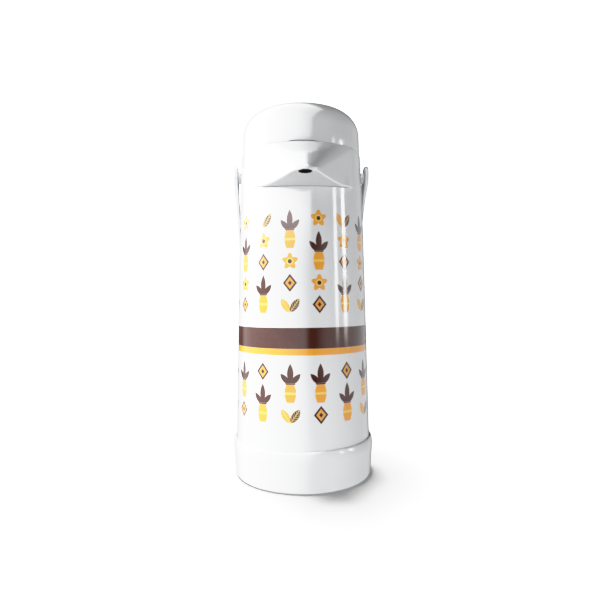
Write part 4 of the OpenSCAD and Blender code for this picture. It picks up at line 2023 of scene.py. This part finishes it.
@dataclass(frozen=True, kw_only=True)
class SoftBox:
    """A soft square or oblong light; its place and size are in metres, its power in watts."""

    name: str
    at: Point3
    aim: Point3
    size: Point2
    power: float
    mirrored: bool = False
    reach: Reach = Reach.PIECES

    def make(self) -> bpy.types.Object:
        """Adds the light at its place, turned to its aim.

        Returns:
            The light.
        """
        data = bpy.data.lights.new(self.name, "AREA")
        data.shape = "RECTANGLE"
        data.size, data.size_y = self.size
        data.energy = self.power
        light = add_object(self.name, data)
        light.location = self.at
        facing = Vector(self.aim) - Vector(self.at)
        light.rotation_euler = facing.to_track_quat("-Z", "Y").to_euler()
        return light

    def build(self, floor: bpy.types.Object) -> None:
        """Adds the light and links it to the pieces or to the floor.

        Args:
            floor: the floor.
        """
        light = self.make()
        light.visible_glossy = self.mirrored
        group = bpy.data.collections.new(self.name + "_reach")
        group.objects.link(floor)
        group.collection_objects[0].light_linking.link_state = self.reach.value
        light.light_linking.receiver_collection = group


@dataclass(frozen=True, kw_only=True)
class TableLight(SoftBox):
    """A soft parallel light for the table; its spread is in degrees, its power in W/m2."""

    aim: Point3 = (0.0, 0.0, 0.0)
    size: Point2 = (0.0, 0.0)
    spread: float
    reach: Reach = Reach.FLOOR

    def make(self) -> bpy.types.Object:
        """Adds the light, which shines from its place's direction.

        Returns:
            The light.
        """
        data = bpy.data.lights.new(self.name, "SUN")
        data.angle = math.radians(self.spread)
        data.energy = self.power
        light = add_object(self.name, data)
        light.rotation_euler = Vector(self.at).to_track_quat("Z", "Y").to_euler()
        return light


@dataclass
class Studio:
    """The pale floor, the soft lights and the camera."""

    camera_far: float = 0.477
    camera_z: float = 0.164
    camera_side: float = -0.002
    azimuth: float = -2.0
    lens: float = 29.5
    sensor: float = 36.0
    clip: Point2 = (0.01, 50.0)
    roll: float = 0.45
    floor_side: float = 6.0
    paper: FloorPaper = FloorPaper("floor_paper")
    lights: tuple[SoftBox, ...] = (
        SoftBox(
            name="key_softbox",
            at=(-1.3, -0.13, 0.6),
            aim=(0.0, 0.0, 0.17),
            size=(0.28, 0.28),
            power=34.0,
            mirrored=True,
        ),
        TableLight(name="table_light", at=(-0.095, 0.07, 1.0), spread=15.0, power=13.0),
        SoftBox(
            name="low_fill",
            at=(0.02, -0.3, 0.015),
            aim=(0.0, 0.0, 0.06),
            size=(0.3, 0.1),
            power=0.5,
        ),
        SoftBox(
            name="front_softbox",
            at=(-0.87, -0.62, 1.05),
            aim=(0.0, 0.0, 0.2),
            size=(0.25, 0.25),
            power=5.5,
        ),
    )
    dark_way: Point3 = (0.32, -0.74, 0.59)
    dark_from: Point2 = (0.0, 0.9)
    wash: Point2 = (0.4, 0.03)
    below: float = 0.9
    below_from: Point2 = (0.0, -0.1)
    gloss: Point2 = (0.12, 0.03)
    upper_from: Point2 = (0.1, 0.26)
    upper_light: float = 5.0
    upper_edge: Point2 = (0.24, 0.14)
    upper_lean: float = 0.235
    back_lean: float = 0.8
    front_light: float = 1.3
    front_edge: Point2 = (0.2, 0.0)
    panel_end: Point2 = (0.75, 0.5)
    side_light: float = 0.8
    side_edge: Point2 = (0.3, 0.7)
    strip_top: Point2 = (15.5, 18.0)
    strip_foot: Point2 = (-4.0, 2.0)
    strip_edge: Point2 = (0.7, 1.3)
    strips: tuple[Point3, ...] = ((61.0, 3.0, 8.0), (79.5, 3.6, 12.0))
    background: float = 2.4
    white_level: float = 2.0
    shoulder: tuple[Point2, ...] = (
        (0.25, 0.5),
        (0.4, 0.78),
        (0.5, 0.885),
        (0.65, 0.935),
        (0.8, 0.965),
    )

    def camera(self) -> None:
        """Places the camera level in front of the pot."""
        data = bpy.data.cameras.new("camera")
        data.sensor_width = self.sensor
        data.lens = self.lens
        data.clip_start, data.clip_end = self.clip
        turn = Matrix.Rotation(math.radians(self.azimuth), 4, "Z")
        level = Matrix.Translation((self.camera_side, -self.camera_far, self.camera_z))
        upright = Matrix.Rotation(math.radians(90), 4, "X")
        roll = Matrix.Rotation(-math.radians(self.roll), 4, "Z")
        made = add_object("camera", data)
        made.matrix_world = turn @ level @ upright @ roll
        bpy.context.scene.camera = made

    def floor(self) -> bpy.types.Object:
        """Lays the pale floor, out of the pot's own reflections and bounce light.

        Returns:
            The floor.
        """
        half = self.floor_side / 2
        mesh = bpy.data.meshes.new("floor")
        corners = [(-half, -half, 0), (half, -half, 0), (half, half, 0), (-half, half, 0)]
        mesh.from_pydata(corners, [], [(0, 1, 2, 3)])
        mesh.materials.append(self.paper.material())
        made = add_object("floor", mesh)
        made.visible_diffuse = False
        made.visible_glossy = False
        return made

    def mirrored(self, bench: Bench, way: Wire, shade: Wire) -> Wire:
        """The light that the pot's gloss mirrors: soft panels and upright strips.

        Args:
            bench: the world's bench.
            way: the direction.
            shade: 1 in the dark part of the room.

        Returns:
            The strength of the light.
        """
        x, y, z = bench.parts(way)
        turn = bench.math("ARCTAN2", x, -y) * math.degrees(1.0)
        height = bench.math("ARCSINE", z) * math.degrees(1.0)
        gloss = self.gloss[0] + shade * (self.gloss[1] - self.gloss[0])
        high = bench.smooth(z, *self.upper_from)
        side = x - z * self.upper_lean + bench.highest(y, 0.0) * self.back_lean
        panel = high * self.upper_light * bench.smooth(side, *self.upper_edge)
        panel = panel + (1 - high) * self.front_light * bench.smooth(x, *self.front_edge)
        gloss = gloss + panel * bench.smooth(y, *self.panel_end)
        gloss = gloss + self.side_light * bench.smooth(x, *self.side_edge)
        for centre, width, light in self.strips:
            across = abs(turn - centre) / width
            strip = 1 - bench.smooth(across, *self.strip_edge)
            strip = strip * (1 - bench.smooth(height, *self.strip_top))
            strip = strip * bench.smooth(height, *self.strip_foot)
            gloss = gloss + strip * light
        return gloss

    def surroundings(self) -> None:
        """Fills the room with soft light: bright on the left, dark in front on the right."""
        world = bpy.data.worlds.new("studio")
        bpy.context.scene.world = world
        bench = Bench(world)
        way = bench.node("ShaderNodeTexCoord", None, None, "Generated")
        _, _, z = bench.parts(way)
        shade = bench.smooth(bench.dot(way, self.dark_way), *self.dark_from)
        under = bench.smooth(z, *self.below_from)
        wash = self.wash[0] + shade * (self.wash[1] - self.wash[0])
        wash = wash + under * (self.below - wash)
        gloss = self.mirrored(bench, way, shade)
        rays = bench.node("ShaderNodeLightPath").socket.node.outputs
        level = wash + Wire(bench, rays["Is Glossy Ray"]) * (gloss - wash)
        level = level + Wire(bench, rays["Is Camera Ray"]) * (self.background - level)
        inputs = {"Color": (1.0, 1.0, 1.0, 1.0), "Strength": level}
        bench.output(bench.node("ShaderNodeBackground", None, inputs), "World")

    def tones(self) -> None:
        """Rolls the brightest tones off softly."""
        view = bpy.context.scene.view_settings
        view.view_transform = "Standard"
        view.use_curve_mapping = True
        mapping = view.curve_mapping
        mapping.white_level = (self.white_level,) * 3
        for point in self.shoulder:
            mapping.curves[3].points.new(*point)
        mapping.update()

    def build(self) -> None:
        """Sets up the whole studio."""
        self.camera()
        floor = self.floor()
        self.surroundings()
        for light in self.lights:
            light.build(floor)
        self.tones()


# ---------------------------------------------------------------- whole


WHITE = from_screen(232, 234, 236)
# painted shade: near-black for the outlet and the cap in its bore, so that the shaded hole under the
# beak reads black
SHADE_BLACK = (0.003, 0.003, 0.003)
FELT = from_screen(190, 184, 170)
FELT_SHADE = tuple(0.6 * part for part in FELT)


def make_finishes() -> dict[str, bpy.types.Material]:
    """Makes one finish for each slot.

    Returns:
        The materials by the slots' names.
    """
    kinds = {
        Slot.WHITE: MouldedPlastic("gloss_white", WHITE, roughness=0.14, coat=0.3),
        # painted shade: a grey copy of the white plastic for the beak's underside, where the beak faces
        # down into shade
        Slot.GREY: MouldedPlastic("grey_plate_painted_shade", from_screen(197, 198, 200), roughness=0.4),
        # painted shade: near-black with ior 1.12, so that the outlet barely mirrors anything and its
        # hole reads black
        Slot.DARK: MouldedPlastic("dark_tube_painted_shade", SHADE_BLACK, roughness=0.7, ior=1.12),
        Slot.INNER: MouldedPlastic("inner_plate", from_screen(214, 214, 212), roughness=0.4),
        Slot.TUBE: MouldedPlastic("clear_grey_tube", from_screen(205, 210, 212), roughness=0.25),
        Slot.GLASS: SilveredGlass("silvered_glass"),
        Slot.RUBBER: Rubber("seal_rubber", from_screen(196, 194, 190)),
        Slot.BELLOWS: Rubber("bellows_rubber", from_screen(70, 70, 72)),
        Slot.FELT: PressedFelt("spacer_felt", FELT, soil_colour=FELT_SHADE),
        Slot.STEEL: DrawnSteel("steel"),
    }
    return {slot.value: kind.material() for slot, kind in kinds.items()}


def main() -> None:
    """Builds and dresses the pot, then sets up the studio."""
    logging.basicConfig(level=logging.INFO, format="%(name)s: %(message)s")
    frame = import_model()
    finishes = make_finishes()
    white = finishes[Slot.WHITE.value]
    printed = PrintedPlastic("printed_white", WHITE, roughness=0.1, coat=0.5).material()
    slots = {row["node"]: row["material_slot"] for row in frame["record"]["subparts"]}
    for part in (
        CaseShell(printed),
        BaseCup(white),
        BeakMouth(finishes[Slot.GREY.value], finishes[Slot.DARK.value]),
        DomeLid(white),
        PushButton(white),
        CarryHandle(white),
        HandlePins(white),
        PumpWorks(frame["nodes"], finishes, slots),
    ):
        made = part.build()
        for piece in made if isinstance(made, list) else [made]:
            log.info("%s has %d faces", piece.name, len(piece.data.polygons))
    inner = InnerWorks(frame["nodes"], finishes, slots)
    log.info("dressed %d inner nodes", inner.dress())
    Studio().build()


if __name__ == "__main__":
    main()
